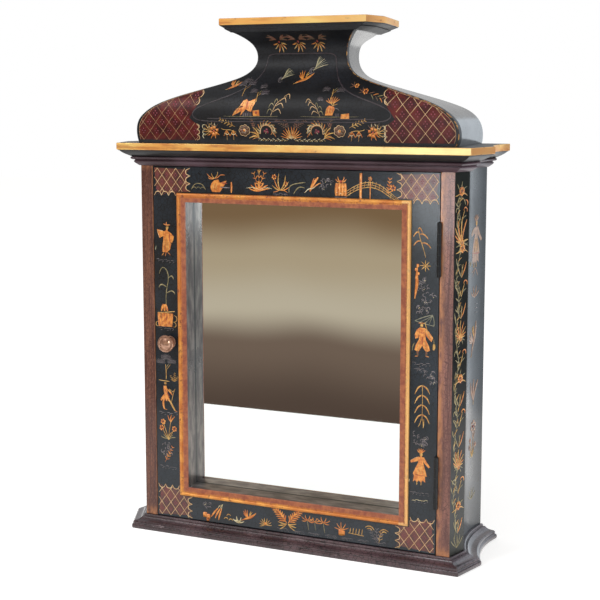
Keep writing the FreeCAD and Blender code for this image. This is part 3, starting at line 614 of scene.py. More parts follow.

# %% Gilt boards
# Bright leaf round the edges of the cornice and cap boards, redder at the left and brown at the
# corners, with a painted highlight: the front faces turn pale yellow towards the right end.
# Their level faces and backs were left black.
PAINTED_HIGHLIGHT_FROM, PAINTED_HIGHLIGHT_FULL = -40.0, 190.0
RED_FROM, REDDEST = 10.0, -90.0

board_gilding, tree, shader, place = new_material("gilt_board")
body, metal = gild(tree, shader, place, ("#ffda82", "#f0aa55", "#9a5a2a"), 0.58, 0.74,
                   (0.35, 0.35, 1.0))
facing = add(tree, "parts", add(tree, "facing")).outputs
level = add(tree, "ease", add(tree, "absolute", facing["Z"]), 0.75, 0.9)
level = add(tree, "maximum", level, add(tree, "ease", facing["Y"], 0.8, 0.9))
sideways = axis(tree, place, "X")
# Painted highlight: pale yellow on the front faces, growing towards the right end.
bright = add(tree, "multiply", add(tree, "ease", facing["Y"], -0.8, -0.9),
             add(tree, "ease", sideways, PAINTED_HIGHLIGHT_FROM, PAINTED_HIGHLIGHT_FULL))
body = add(tree, "mix", add(tree, "multiply", bright, 0.5), body, colour("#fff0b0"))
red = add(tree, "ease", patches(tree, place, STREAK / 1.1, 5.0, (0.18, 0.35, 1.6)), 0.5, 0.62)
red = add(tree, "multiply", red, add(tree, "ease", sideways, RED_FROM, REDDEST))
body = add(tree, "mix", add(tree, "multiply", red, 0.55), body, colour("#b5643a"))
corner = add(tree, "absolute", add(tree, "multiply", facing["X"], facing["Y"]))
corner = add(tree, "ease", corner, 0.15, 0.3)
body = add(tree, "mix", add(tree, "multiply", corner, 0.7), body, colour("#b8763a"))
body = add(tree, "mix", level, body, cloudy(tree, place, "#17181a", "#2a2626"))
metal = add(tree, "multiply", metal, add(tree, "subtract", 1.0, level))
give(tree, shader, {"Base Color": body, "Metallic": metal})
print("gilt boards, redder left of", RED_FROM, "mm")

# %% The mirror opening
RAIL_LAP = 28
OPENING_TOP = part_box("door_rail_top")[0].z / MM
OPENING_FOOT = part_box("door_rail_bottom")[1].z / MM
OPENING_HALF = -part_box("door_rail_top")[0].x / MM - RAIL_LAP


def from_opening(tree, place):
    """How far a point is outside the mirror opening, in millimetres."""
    middle, half = (OPENING_TOP + OPENING_FOOT) / 2, (OPENING_TOP - OPENING_FOOT) / 2
    wide = add(tree, "subtract", add(tree, "absolute", axis(tree, place, "X")), OPENING_HALF)
    tall = add(tree, "subtract", axis(tree, place, "Z"), middle)
    tall = add(tree, "subtract", add(tree, "absolute", tall), half)
    return add(tree, "maximum", wide, tall)


print("half the opening is", round(OPENING_HALF, 1), "mm wide")

# %% Gilt sight moulding
# Dull orange leaf round the mirror. Its slope towards the glass is worn to a spotted red-brown.
# On the right of the opening the leaf is painted paler, as a painted highlight.
sight_gilding, tree, shader, place = new_material("sight_gilding")
body, metal = gild(tree, shader, place, ("#e9a24a", "#c97634", "#8a4427"), 0.55, 0.68, None)
wander = add(tree, "multiply", add(tree, "subtract", patches(tree, place, 2.4, 4.0), 0.5), 5.0)
right_side = add(tree, "ease", axis(tree, place, "X"), OPENING_HALF, OPENING_HALF + 1.0)
wander = add(tree, "subtract", wander, add(tree, "multiply", right_side, 1.8))
reach = add(tree, "add", from_opening(tree, place), wander)
slope = add(tree, "ease", reach, 8.0, 4.4)
spots = add(tree, "ease", patches(tree, place, 6, 6.0), 0.3, 0.72)
spotted = add(tree, "mix", spots, colour("#8a4634"), colour("#b56c45"))
# Painted highlight: the moulding right of the opening is mixed towards pale gold.
body = add(tree, "mix", add(tree, "multiply", right_side, 0.6), body, colour("#ffcf86"))
metal = add(tree, "multiply", metal, add(tree, "subtract", 1.0, slope))
give(tree, shader, {"Base Color": add(tree, "mix", slope, body, spotted), "Metallic": metal})
print("sight moulding worn near the glass")

# %% Worn gilt edge of the pediment
# Leaf rubbed back to black along the pediment's outline. Its neck and left half were never gilt.
NECK_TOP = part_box("cap_moulding_front")[0].z / MM
GILT_TO = NECK_TOP - 6.0
PLAIN_BLACK = "#17181c"

worn_gilt_edge, tree, shader, place = new_material("worn_gilt_edge")
body, metal = gild(tree, shader, place, ("#d9a24e", "#a96a2f", "#221a17"), 0.44, 0.56, None)
neck = add(tree, "ease", axis(tree, place, "Z"), GILT_TO, GILT_TO + 4.0)
ungilt = add(tree, "maximum", neck, add(tree, "ease", axis(tree, place, "X"), 0.0, -40.0))
metal = add(tree, "multiply", metal, add(tree, "subtract", 1.0, ungilt))
give(tree, shader, {"Base Color": add(tree, "mix", ungilt, body, colour(PLAIN_BLACK)),
                    "Metallic": metal})
print("gilt edge up to", round(GILT_TO, 1), "mm")

# %% [markdown]
# ## Door frame and cornice
#
# The door's black lacquer stops at the mirror opening, whose four inner faces are a dull brown
# bronze paint, brushed along them, with a dark line where they meet the glass. The cornice is
# black in its upper hollow and aubergine below it.

# %% Door lacquer
GLASS_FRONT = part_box("mirror_glass")[0].y / MM

# Polished black lacquer with a few brush marks, and a satin metal paint round the opening.
door_lacquer, tree, shader, place = new_material("door_lacquer")
crack = polish(tree, shader, place, 0.26, 0.55, 0.9)
reveal = add(tree, "ease", from_opening(tree, place), 0.5, 0.1)
brushed = add(tree, "ease", patches(tree, place, 30, 3.0, (1.0, 3.0, 1.0)), 0.35, 0.7)
bronze_paint = add(tree, "mix", brushed, colour("#564d4c"), colour("#8d827c"))
at_glass = add(tree, "ease", axis(tree, place, "Y"), GLASS_FRONT - 2.2, GLASS_FRONT - 1.6)
bronze_paint = add(tree, "mix", at_glass, bronze_paint, colour(IN_CRACKS))
body = add(tree, "mix", crack, colour("#0d0e10"), cloudy(tree, place, "#151c23", "#232c35"))
powder = add(tree, "multiply", reveal, add(tree, "subtract", 0.55, at_glass))
give(tree, shader, {"Base Color": add(tree, "mix", reveal, body, bronze_paint),
                    "Metallic": powder})
print("bronze reveal in front of the glass at", round(GLASS_FRONT, 1), "mm")

# %% Cornice lacquer
HOLLOW_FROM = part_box("cornice_board")[0].z / MM - 9.4

# The same kind of lacquer with a thinner coat, so the moulding shines less than the plinth.
cornice_lacquer, tree, shader, place = new_material("cornice_lacquer")
polish(tree, shader, place, 0.3, 0.3, 0.4, 0.12)
hollow = add(tree, "ease", axis(tree, place, "Z"), HOLLOW_FROM, HOLLOW_FROM + 0.6)
body = add(tree, "mix", hollow, cloudy(tree, place, "#3c262d", "#57404a"),
           cloudy(tree, place, "#131416", "#201f22"))
give(tree, shader, {"Base Color": body})
print("cornice hollow from", round(HOLLOW_FROM, 1), "mm up")

# %% [markdown]
# ## Glass and metals
#
# Mirror glass is clear with silver on its back, so all that shows is a nearly perfect, faintly
# green reflection: a metal with almost no roughness. Handled metal is never one even tone, so
# each metal drifts between a bright and a dull one, and is rougher where it is dull.

# %% Glass and metals
# Silvered float glass: a clean, sharp reflection.
silvered_glass, tree, shader, place = new_material("silvered_glass")
give(tree, shader, {"Base Color": colour("#e4e8e6"), "Metallic": 1.0, "Roughness": 0.015})


def metal_finish(name, bright, dull, rough, metallic, patch_mm):
    """A metal whose tone and roughness drift in patches."""
    material, tree, shader, place = new_material(name)
    dulled = add(tree, "ease", patches(tree, place, patch_mm, 4.0), 0.35, 0.68)
    give(tree, shader, {"Base Color": add(tree, "mix", dulled, colour(bright), colour(dull)),
                        "Roughness": add(tree, "span", dulled, rough, rough + 0.18),
                        "Metallic": metallic})
    return material


# Cast bronze, handled for years: pinkish brown, and shinier in patches.
aged_bronze = metal_finish("aged_bronze", "#c49a82", "#96705d", 0.2, 0.7, 9)
# Steel blacked with oil and heat: nearly black, with a weak sheen.
black_iron = metal_finish("blacked_steel", "#141517", "#0b0b0c", 0.35, 0.3, 5)
# Pressed brass that has dulled in the air: a brownish yellow.
dull_brass = metal_finish("dull_brass", "#b08d4c", "#86693a", 0.32, 1.0, 5)
# Rolled steel with no finish: an even grey.
plain_steel = metal_finish("plain_steel", "#8b8d8f", "#74777a", 0.35, 1.0, 5)
# Moulded brown ABS, which the same function gives with no metal in it: a plain soft shine.
catch_plastic = metal_finish("catch_plastic", "#35231a", "#2e1e16", 0.4, 0.0, 20)
print("glass, four metals and a plastic")

# %% [markdown]
# ## The boards get their finishes
#
# Each CAD node now gets its material and the round that its edges have: wide on boards that were
# sanded by hand, and narrow on mouldings and small metal. The pediment's front carries worn
# gilding on its bevel, in a second slot.

# %% Dress the case
SIDES = ("left", "right")
for name in ("plinth_board", "side_board_left", "side_board_right"):
    dress(name, case_lacquer)
    soften(name, 0.6)
for name in ("front", *SIDES):
    dress("plinth_moulding_" + name,
          aubergine_lacquer if name == "front" else polished_aubergine)
    dress("cornice_moulding_" + name, cornice_lacquer)
    dress("cap_moulding_" + name, pediment_lacquer)
    for run in ("plinth_moulding_", "cornice_moulding_", "cap_moulding_"):
        soften(run + name, 0.25)
for side in SIDES:
    dress("corner_post_" + side, post_lacquer)
    soften("corner_post_" + side, 0.7, segments=3)
dress("top_rail", cornice_lacquer)
dress("back_panel", back_stain)
for name in ("top_board", "shelf_lower", "shelf_upper", "door_stop_left", "door_stop_right"):
    dress(name, inside_paint)
    soften(name, 0.5)
for name in ("cornice_board", "cap_board"):
    dress(name, board_gilding)
    soften(name, 0.3)
dress("cap_core", black_lacquer)
dress("pediment_front", pediment_lacquer, worn_gilt_edge)
soften("pediment_front", 1.1, segments=3, edge_slot=1)
for side in SIDES:
    dress("pediment_side_" + side, polished_black)
    soften("pediment_side_" + side, 0.3)
dress("pediment_back", back_stain)
print("case dressed")

# %% Dress the door and the fittings
for name in ("door_stile_left", "door_stile_right", "door_rail_top", "door_rail_bottom"):
    dress(name, door_lacquer)
    soften(name, 0.45)
for name in ("top", "bottom", *SIDES):
    dress("sight_moulding_" + name, sight_gilding)
    soften("sight_moulding_" + name, 0.25)
dress("mirror_glass", silvered_glass)
dress("mirror_backing", backing_board)
dress("glass_beads", inside_paint)
for name in ("knob", "knob_plate"):
    dress(name, aged_bronze)
    soften(name, 0.25)
for name in ("lower", "upper"):
    for part in ("hinge_case_leaf_", "hinge_door_leaf_", "hinge_pin_"):
        dress(part + name, black_iron)
        soften(part + name, 0.2)
for name in ("hinge_case_screws", "hinge_door_screws"):
    dress(name, black_iron)
for name in ("keyhole_plate_left", "keyhole_plate_right", "keyhole_screws", "knob_screw",
             "shelf_pins"):
    dress(name, dull_brass)
for name in ("strike_plate", "strike_screws", "catch_magnet"):
    dress(name, plain_steel)
dress("catch_housing", catch_plastic)
print(len(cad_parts), "nodes dressed")

# %% [markdown]
# ## A brush
#
# The ornament on such a cabinet is brushed on in bronze powder and colours, a little thicker than
# the lacquer, so each stroke catches the light. Here every stroke is one segment of a curve
# object: its points carry a width, Blender sweeps a round section along it, and the tube is then
# pressed flat and laid on the board by casting a ray at the board from each of its points.

# %% The surfaces that are painted
RIGHT, FRONT, UP = Vector((1, 0, 0)), Vector((0, -1, 0)), Vector((0, 0, 1))
DOOR_ZERO, PEDIMENT_ZERO = Vector((0, -54, 0)), Vector((0, -60, 0))
POST_EDGE, POST_ARRIS = Vector((CANT_FROM, -54.0, 0)), Vector((223.0, -25.0, 0))
CANT_ALONG = (POST_ARRIS - POST_EDGE).normalized()
CANT_OUT = Vector((CANT_ALONG.y, -CANT_ALONG.x, 0))
CANT_MID = (POST_EDGE + POST_ARRIS) / 2
SIDE_MID = Vector((215.0, 25.0, 0))


def other_side(v):
    """The same place or direction on the left half."""
    return Vector((-v.x, v.y, v.z))


# name: (body, CAD nodes, zero of the drawing in mm, its right-hand direction, its outward one)
SURFACES = {
    "door": ("door", ("door_stile_left", "door_stile_right", "door_rail_top",
                      "door_rail_bottom"), DOOR_ZERO, RIGHT, FRONT),
    "pediment": ("case", ("pediment_front",), PEDIMENT_ZERO, RIGHT, FRONT),
    "cant_right": ("case", ("corner_post_right",), CANT_MID, CANT_ALONG, CANT_OUT),
    "cant_left": ("case", ("corner_post_left",), other_side(CANT_MID),
                  -other_side(CANT_ALONG), other_side(CANT_OUT)),
    "side_right": ("case", ("side_board_right",), SIDE_MID, -FRONT, RIGHT),
    "side_left": ("case", ("side_board_left",), other_side(SIDE_MID), FRONT, -RIGHT),
}
print("surfaces:", ", ".join(SURFACES))

# %% Rays towards the boards
STAND_BACK = 60.0


def board_tree(nodes):
    """A search tree over the faces of these CAD nodes."""
    shape = bmesh.new()
    for node in nodes:
        shape.from_mesh(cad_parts[node].data)
    tree = BVHTree.FromBMesh(shape)
    shape.free()
    return tree


TREES = {name: board_tree(surface[1]) for name, surface in SURFACES.items()}


def board_under(surface, u, v):
    """The point of the board under a place on the surface, or None past its edge."""
    _, _, zero, right, out = SURFACES[surface]
    start = (zero + right * u + UP * v + out * STAND_BACK) * MM
    return TREES[surface].ray_cast(start, -out)[0]


def lay(mesh, surface):
    """Lays a mesh drawn flat on X and Z, with its height towards -Y, on one of the surfaces."""
    _, _, zero, right, out = SURFACES[surface]
    for vertex in mesh.vertices:
        height = vertex.co.y
        hit = board_under(surface, vertex.co.x / MM, vertex.co.z / MM)
        if hit is None:
            flat = zero * MM + right * vertex.co.x + UP * vertex.co.z
            hit = TREES[surface].find_nearest(flat)[0]
        vertex.co = hit - out * height


print(len(TREES), "search trees")

# %% [markdown]
# ## Paints
#
# The paints are bronze powder in varnish, warmer or yellower, and a few oil colours. The powder is
# partly metal, and a brush lays it unevenly, so its tone drifts every few millimetres. The varnish
# in a paint gives it a thin coat, which dull grounds such as rust red don't have.

# %% Paints
PAINT_ROUGH, VARNISH_ROUGH = 0.42, 0.2


def paint(name, light, dark, metallic, patch_mm=5.0, coat=0.5):
    """A brushed paint that drifts between two tones; metallic says how much of it is powder."""
    material, tree, shader, place = new_material(name)
    drift = add(tree, "ease", patches(tree, place, patch_mm), 0.36, 0.64)
    give(tree, shader, {"Base Color": add(tree, "mix", drift, colour(light), colour(dark)),
                        "Metallic": metallic, "Roughness": PAINT_ROUGH, "Coat Weight": coat,
                        "Coat Roughness": VARNISH_ROUGH, "Specular IOR Level": 0.2 + 0.6 * coat})
    return material


PAINTS = {
    # Bronze powders: they glow warm or yellow where light falls on them.
    "bronze": paint("bronze_powder_paint", "#f0a04a", "#c96f2c", 0.25),
    "gold": paint("gold_powder_paint", "#e2b566", "#b98640", 0.3),
    "olive": paint("olive_gold_paint", "#a79666", "#77704a", 0.15),
    # On the scooped sides the bronze is paler and pinker: a painted sheen of the light grazing
    # them.
    "faded": paint("bronze_paint_with_painted_sheen", "#b88f72", "#94735f", 0.1),
    # Oil colours with a little powder: they read as thin bright lines.
    "straw": paint("straw_paint", "#ecc795", "#cba06c", 0.1),
    "ochre": paint("ochre_paint", "#c2966a", "#966c4a", 0.1),
    # Plain oil colours: flat, and duller than the powders beside them.
    "pale": paint("grey_lilac_paint", "#8a8082", "#585153", 0.0),
    "sage": paint("sage_paint", "#a5a184", "#77795f", 0.0),
    "cream": paint("cream_paint", "#eadfb8", "#c9b584", 0.0),
    "plum": paint("plum_paint", "#983447", "#6f2231", 0.0),
    "red": paint("vermilion_paint", "#b8472a", "#8c3122", 0.0),
    "leaf_brown": paint("leaf_brown_paint", "#84513a", "#5e4a33", 0.0),
    # Grounds under the lattices and scenes: dark, and cloudy over wider patches.
    "rust": paint("rust_red_paint", "#63231f", "#421919", 0.0, 12.0, coat=0.0),
    "brick": paint("brick_red_paint", "#6e3429", "#4b231f", 0.0, 12.0),
    "dusk": paint("dusk_purple_paint", "#3f343a", "#2b2428", 0.0, 9.0),
}
print(len(PAINTS), "paints")

# %% The brush
STROKES = {}
CANT_REACH = 14.6
REACH = {"cant_right": CANT_REACH, "cant_left": CANT_REACH}


class Brush:
    """A place on a surface from which strokes are drawn, in millimetres, u right and v up."""

    def __init__(self, surface, u=0.0, v=0.0, size=1.0, turn=0.0, flip=False):
        self.surface, self.u, self.v, self.size = surface, u, v, size
        self.turn, self.flip = math.radians(turn), -1 if flip else 1

    def place(self, u, v):
        """Where a point of the drawing falls on the surface."""
        u = u * self.flip
        c, s = math.cos(self.turn), math.sin(self.turn)
        return (self.u + (u * c - v * s) * self.size, self.v + (u * s + v * c) * self.size)

    def stroke(self, paint_name, points, width, tip=0.35):
        """A stroke through the points, fullest at its middle and thinner at both ends."""
        reach = REACH.get(self.surface)
        if reach and any(abs(self.place(*point)[0]) > reach for point in points):
            return
        last = len(points) - 1
        made = []
        for k, (u, v) in enumerate(points):
            full = math.sin(math.pi * k / last)
            made.append((*self.place(u, v), width * self.size * (tip + (1 - tip) * full)))
        STROKES.setdefault((self.surface, paint_name), []).append(made)

    def line(self, paint_name, points, width):
        """A stroke as wide at its ends as at its middle."""
        self.stroke(paint_name, points, width, 1.0)

    def leaf(self, paint_name, u, v, angle, length, width, bend=0.12):
        """One press of the brush, from its foot towards an angle in degrees."""
        a = math.radians(angle)
        du, dv = math.cos(a) * length, math.sin(a) * length
        self.stroke(paint_name, [(u, v), (u + du * 0.5 - dv * bend, v + dv * 0.5 + du * bend),
                                 (u + du, v + dv)], width, 0.2)

    def dab(self, paint_name, u, v, size):
        """A round touch of the brush."""
        self.stroke(paint_name, [(u - size * 0.3, v), (u, v), (u + size * 0.3, v)], size, 0.8)

    def arc(self, paint_name, u, v, radius, start, end, width, tip=0.4):
        """Part of a circle, from one angle to another."""
        steps = max(3, round(abs(end - start) / 30))
        points = []
        for k in range(steps + 1):
            a = math.radians(start + (end - start) * k / steps)
            points.append((u + radius * math.cos(a), v + radius * math.sin(a)))
        self.stroke(paint_name, points, width, tip)

    def fan(self, paint_name, u, v, count, start, end, length, width, bend=0.12):
        """Leaves that spread from one foot."""
        for k in range(count):
            angle = start + (end - start) * k / (count - 1)
            self.leaf(paint_name, u, v, angle, length, width,
                      bend * (1 if angle > 90 else -1))

    def bloom(self, paint_name, u, v, size, petals=6, heart="cream"):
        """A flower seen from the front."""
        for k in range(petals):
            a = 2 * math.pi * k / petals + 0.3
            self.dab(paint_name, u + math.cos(a) * size * 0.32, v + math.sin(a) * size * 0.32,
                     size * 0.36)
        self.dab(heart, u, v, size * 0.22)

    def sprig(self, paint_name, u, v, angle, length, leaves=4, leaf_length=4.0, width=1.3):
        """A stem with leaves in pairs."""
        a = math.radians(angle)
        du, dv = math.cos(a), math.sin(a)
        self.stroke(paint_name, [(u, v), (u + du * length * 0.5 - dv * 0.6,
                                          v + dv * length * 0.5 + du * 0.6),
                                 (u + du * length, v + dv * length)], 0.55, 0.8)
        for k in range(leaves):
            t = length * (k + 0.8) / leaves
            reach = leaf_length * (1 - 0.4 * k / leaves)
            for side in (-1, 1):
                self.leaf(paint_name, u + du * t, v + dv * t, angle + side * 48, reach, width,
                          -side * 0.12)


print("brush ready, for", REACH)

# %% [markdown]
# ## Lattice corners
#
# Each corner of the door and both shoulders of the pediment have a rust-red field with a scalloped
# edge, crossed by a gold lattice with a small flower in every diamond. The field is a flat shape
# that is cut into strips before it is laid, so that it follows the curve of the pediment. The
# lattice lines are clipped to it, because a painter stops each line at the edge.

# %% Outlines
SCALLOP_STEPS = 6


def inside(outline, u, v):
    """Whether a point is within a closed outline."""
    odd = False
    for (u0, v0), (u1, v1) in zip(outline, outline[1:] + outline[:1]):
        if (v0 > v) != (v1 > v) and u < (u1 - u0) * (v - v0) / (v1 - v0) + u0:
            odd = not odd
    return odd


def scallops(start, end, count, depth):
    """Points of a row of round bites along a line, bulging to its left."""
    (u0, v0), (u1, v1) = start, end
    length = math.hypot(u1 - u0, v1 - v0)
    du, dv = (u1 - u0) / length, (v1 - v0) / length
    points = []
    for k in range(count):
        for step in range(SCALLOP_STEPS):
            t = (k + step / SCALLOP_STEPS) / count * length
            lift = depth * math.sqrt(1 - (step / (SCALLOP_STEPS / 2) - 1) ** 2)
            points.append((u0 + du * t - dv * lift, v0 + dv * t + du * lift))
    return points + [end]


print("scallops have", SCALLOP_STEPS, "steps each")

# %% Painted fields
FIELD_THICK = 0.05
STRIP = 2.0


def field(name, surface, outline, ground="rust", strips=True):
    """A flat painted area inside an outline, laid on a surface."""
    shape = bmesh.new()
    corners = [shape.verts.new((u * MM, 0, v * MM)) for u, v in outline]
    bmesh.ops.contextual_create(shape, geom=corners)
    if strips:
        for along, way in ((0, (1, 0, 0)), (1, (0, 0, 1))):
            low, high = min(p[along] for p in outline), max(p[along] for p in outline)
            for k in range(1, int((high - low) / STRIP) + 1):
                bmesh.ops.bisect_plane(
                    shape, geom=shape.verts[:] + shape.edges[:] + shape.faces[:],
                    plane_co=Vector(way) * (low + k * STRIP) * MM, plane_no=way)
    bmesh.ops.triangulate(shape, faces=shape.faces[:])
    bmesh.ops.recalc_face_normals(shape, faces=shape.faces[:])
    if shape.faces[:][0].normal.y > 0:
        bmesh.ops.reverse_faces(shape, faces=shape.faces[:])
    skin = shape.faces[:]
    grown = bmesh.ops.extrude_face_region(shape, geom=skin, use_keep_orig=True)
    front = [g for g in grown["geom"] if isinstance(g, bmesh.types.BMVert)]
    bmesh.ops.translate(shape, verts=front, vec=(0, -FIELD_THICK * 2 * MM, 0))
    bmesh.ops.reverse_faces(shape, faces=skin)
    bmesh.ops.translate(shape, verts=shape.verts[:], vec=(0, FIELD_THICK * MM, 0))
    mesh = bpy.data.meshes.new(name)
    shape.to_mesh(mesh)
    shape.free()
    lay(mesh, surface)
    mesh.materials.append(PAINTS[ground])
    made = bpy.data.objects.new(name, mesh)
    bpy.context.scene.collection.objects.link(made)
    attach(made, SURFACES[surface][0])


print("fields are cut every", STRIP, "mm")

# %% Lattice lines and flowers
LINE_STEP, LINE_SHIFT = 0.8, 0.35


def lattice(surface, outline, wide, tall, width, line_paint, flower):
    """Diagonal lines clipped to the outline, with a small flower in each diamond."""
    brush = Brush(surface)
    low_u, high_u = min(u for u, _ in outline), max(u for u, _ in outline)
    low_v, high_v = min(v for _, v in outline), max(v for _, v in outline)
    reach = int((high_u - low_u) / wide + (high_v - low_v) / tall) + 2
    for slope in (1, -1):
        for k in range(-reach, reach + 1):
            run = []
            v = low_v
            while v <= high_v + LINE_STEP:
                u = low_u + (k + LINE_SHIFT) * wide + slope * (v - low_v) * wide / tall
                if v <= high_v and inside(outline, u, v):
                    run.append((u, v))
                else:
                    if len(run) > 3:
                        sway = random.uniform(-0.25, 0.25)
                        through = run[:-1:3] + run[-1:]
                        brush.line(line_paint, [(u + sway, v) for u, v in through], width)
                    run = []
                v += LINE_STEP
    for row in range(int((high_v - low_v) / tall * 2) + 2):
        for column in range(-1, int((high_u - low_u) / wide) + 2):
            u = low_u + (column + LINE_SHIFT + (0.5 if row % 2 == 0 else 0.0)) * wide
            v = low_v + row * tall / 2
            near = [(u - wide * 0.2, v), (u + wide * 0.2, v), (u, v - 2.0), (u, v + 2.0)]
            if all(inside(outline, *p) for p in near):
                for du, dv in ((-1, 0), (1, 0), (0, -1.35), (0, 1.35)):
                    brush.dab("plum", u + du * flower, v + dv * flower, flower + 0.2)


print("lattice lines are traced every", LINE_STEP, "mm")

# %% The door's four corners
DIAMOND_WIDE, DIAMOND_TALL = 13.5, 18.0
DOOR_EDGE, DOOR_FOOT, DOOR_HEAD = 192.6, 20.4, 491.4
SIGHT_OUT = 160.2
TOP_ARM, FOOT_ARM = 141.5, 143.5
TOP_DROP, FOOT_RISE = 455.0, 63.0


def corner_outline(arm, drop, head, sight_edge):
    """An L-shaped field for a door corner, drawn for the right-hand side at the top."""
    side = scallops((DOOR_EDGE, drop), (SIGHT_OUT + 1.0, drop), 3, -5.4)
    rail = scallops((arm - 1.5, sight_edge + 1.0), (arm - 1.5, head), 3, -6.4)
    return ([(DOOR_EDGE, head)] + side + [(SIGHT_OUT, sight_edge)] + rail), side, rail


SIGHT_TOP_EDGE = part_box("sight_moulding_top")[1].z / MM + 1.0
SIGHT_FOOT_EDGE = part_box("sight_moulding_bottom")[0].z / MM - 1.0
LEVELS = (("top", 1, (TOP_ARM, TOP_DROP, DOOR_HEAD, SIGHT_TOP_EDGE)),
          ("foot", -1, (FOOT_ARM, -FOOT_RISE, -DOOR_FOOT, -SIGHT_FOOT_EDGE)))
random.seed(11)
for side in (-1, 1):
    for level, turned, places in LEVELS:
        outline, a, b = corner_outline(*places)
        outline, a, b = ([(side * u, turned * v) for u, v in row] for row in (outline, a, b))
        name = "door_lattice_" + level + ("_left" if side < 0 else "_right")
        field(name, "door", outline, "brick", strips=False)
        lattice("door", outline, DIAMOND_WIDE, DIAMOND_TALL, 0.72, "straw", 1.5)
        brush = Brush("door")
        for row in (a, b):
            for k in range(0, len(row) - SCALLOP_STEPS, SCALLOP_STEPS):
                brush.stroke("straw", row[k:k + SCALLOP_STEPS + 1], 1.25, 0.6)
print("four door corners")

# %% [markdown]
# ## The pediment's fields
#
# The pediment is painted like the door: a lattice on each shoulder and a bell-shaped garden scene
# inside a thin rust-red line. A ray cast towards the board finds how wide it is at each height,
# so the border follows its outline at an even distance.

# %% The pediment's outline
WIDEST = 240.0


def shoulder(v):
    """Half the width of the pediment's front at this height, in millimetres."""
    low, high = 0.0, WIDEST
    for _ in range(14):
        middle = (low + high) / 2
        if board_under("pediment", middle, v) is None:
            high = middle
        else:
            low = middle
    return low


print("pediment half-widths:", [(v, round(shoulder(v))) for v in range(530, 665, 10)])

# %% Pediment fields
BORDER = 4.0
LATTICE_FOOT, LATTICE_HEAD = 528.0, 593.0
rim = [(shoulder(v) - BORDER, v) for v in
       [LATTICE_FOOT + (LATTICE_HEAD - LATTICE_FOOT) * k / 14 for k in range(15)]]
inner_edge = (scallops((124.0, 592.0), (129.0, 573.0), 2, -3.6)
              + [(135.0, 570.5), (139.0, 564.0), (138.0, 556.5), (131.0, 551.0)]
              + scallops((128.0, 549.0), (128.0, LATTICE_FOOT), 3, -3.6))
random.seed(5)
for side in (-1, 1):
    outline = [(side * u, v) for u, v in rim + inner_edge]
    field("pediment_lattice_" + ("left" if side < 0 else "right"), "pediment", outline)
    lattice("pediment", outline, 19.0, 23.0, 0.62, "straw" if side > 0 else "ochre", 2.1)
    brush = Brush("pediment", flip=side < 0)
    brush.line("ochre", rim, 0.6)
    for k in (0, 6, 17, 23, 29):
        brush.stroke("straw", inner_edge[k:k + SCALLOP_STEPS + 1], 1.2, 0.6)
    brush.line("dusk", [(0, 552), (60, 552), (112, 552), (128, 554), (134, 560), (131, 567),
                        (118, 573), (98, 580), (76, 588), (60, 599), (51, 612), (47, 626),
                        (46, 638), (24, 638), (0, 638)], 1.7)
    for lift, width in ((0, 2.2), (-4, 1.4)):
        brush.stroke("dusk", [(0, 555 + lift), (40, 556 + lift), (80, 555.5 + lift),
                              (112, 556 + lift)], width, 0.5)
print("two shoulders, with a rim of", len(rim), "points")

# %% [markdown]
# ## Garden motifs
#
# The scenes are the stock of such painting everywhere: small figures in robes, huts, rocks,
# willows, ferns, birds and flower sprays. Each is a short recipe of strokes in millimetres from
# its own foot, so it can be placed, turned over and resized. Faces are plain ovals, as they are
# too small to carry features.

# %% Ground and boughs
def ground(b, width, paint_name="pale"):
    """A few loose strokes of earth and grass."""
    for k in range(5):
        u = -width / 2 + width * (k + 0.5) / 5 + random.uniform(-1, 1)
        v = random.uniform(-1.6, 1.0)
        b.stroke(paint_name, [(u - 2.5, v), (u, v + 0.8), (u + 2.5, v - 0.2)], 0.9)
        b.leaf("pale", u + 1, v - 3.0, random.uniform(0, 60), 2.6, 0.9)


def willow(b):
    """A thin bent stem, hooked at the top, with a few drooping boughs."""
    b.stroke("olive", [(2, 0), (1, 12), (3, 26), (6, 38), (4, 48), (-1, 53), (-6, 51), (-8, 44)],
             1.3, 0.5)
    for u, v, way, reach in ((5, 38, 1, 8), (3, 26, -1, 12), (2, 18, 1, 13)):
        b.stroke("olive", [(u, v), (u + way * reach * 0.5, v + 4),
                           (u + way * reach * 0.9, v + 2.5), (u + way * reach, v - 1)], 2.1, 0.25)


def reed_bough(b, height=34.0):
    """A leaning stem with broad drooping leaves, over a small star of grass."""
    b.stroke("gold", [(4, 0), (1, height * 0.35), (-4, height * 0.7), (-5, height)], 0.9, 0.6)
    for t, way, reach in ((1.0, 1, 5), (0.86, -1, 7), (0.8, 1, 10), (0.56, -1, 9), (0.5, 1, 11)):
        u = 3 - 8 * t
        for paint_name, width, drop in (("bronze", 1.6, 0.8), ("gold", 1.3, 0.0)):
            v = t * height - drop
            b.stroke(paint_name, [(u, v), (u + way * reach * 0.5, v + 2.5),
                                  (u + way * reach, v - 5)], width, 0.25)


print("ground and boughs ready")

# %% Ferns, trees and bushes
def fern(b, height=58.0, pairs=4):
    """A stem with drooping leaves in pairs."""
    b.line("gold", [(0, height * 0.2), (0.8, height * 0.5), (0, height * 0.95)], 0.7)
    for k in range(pairs):
        v = height * (0.97 - 0.21 * k)
        for way in (-1, 1):
            lean = random.uniform(-1, 1)
            for paint_name, width, drop in (("bronze", 1.4, 0.9), ("gold", 1.5, 0.0)):
                b.stroke(paint_name, [(0, v - drop), (way * 4.5, v - 1.5 - drop),
                                      (way * 8, v - 7 + lean - drop),
                                      (way * 9.5, v - 11.5 + lean)], width, 0.22)
    for u, angle in ((-2, 250), (1, 275), (4, 268)):
        b.leaf("gold", u * 0.5, height * 0.24, angle, height * 0.2, 1.4)


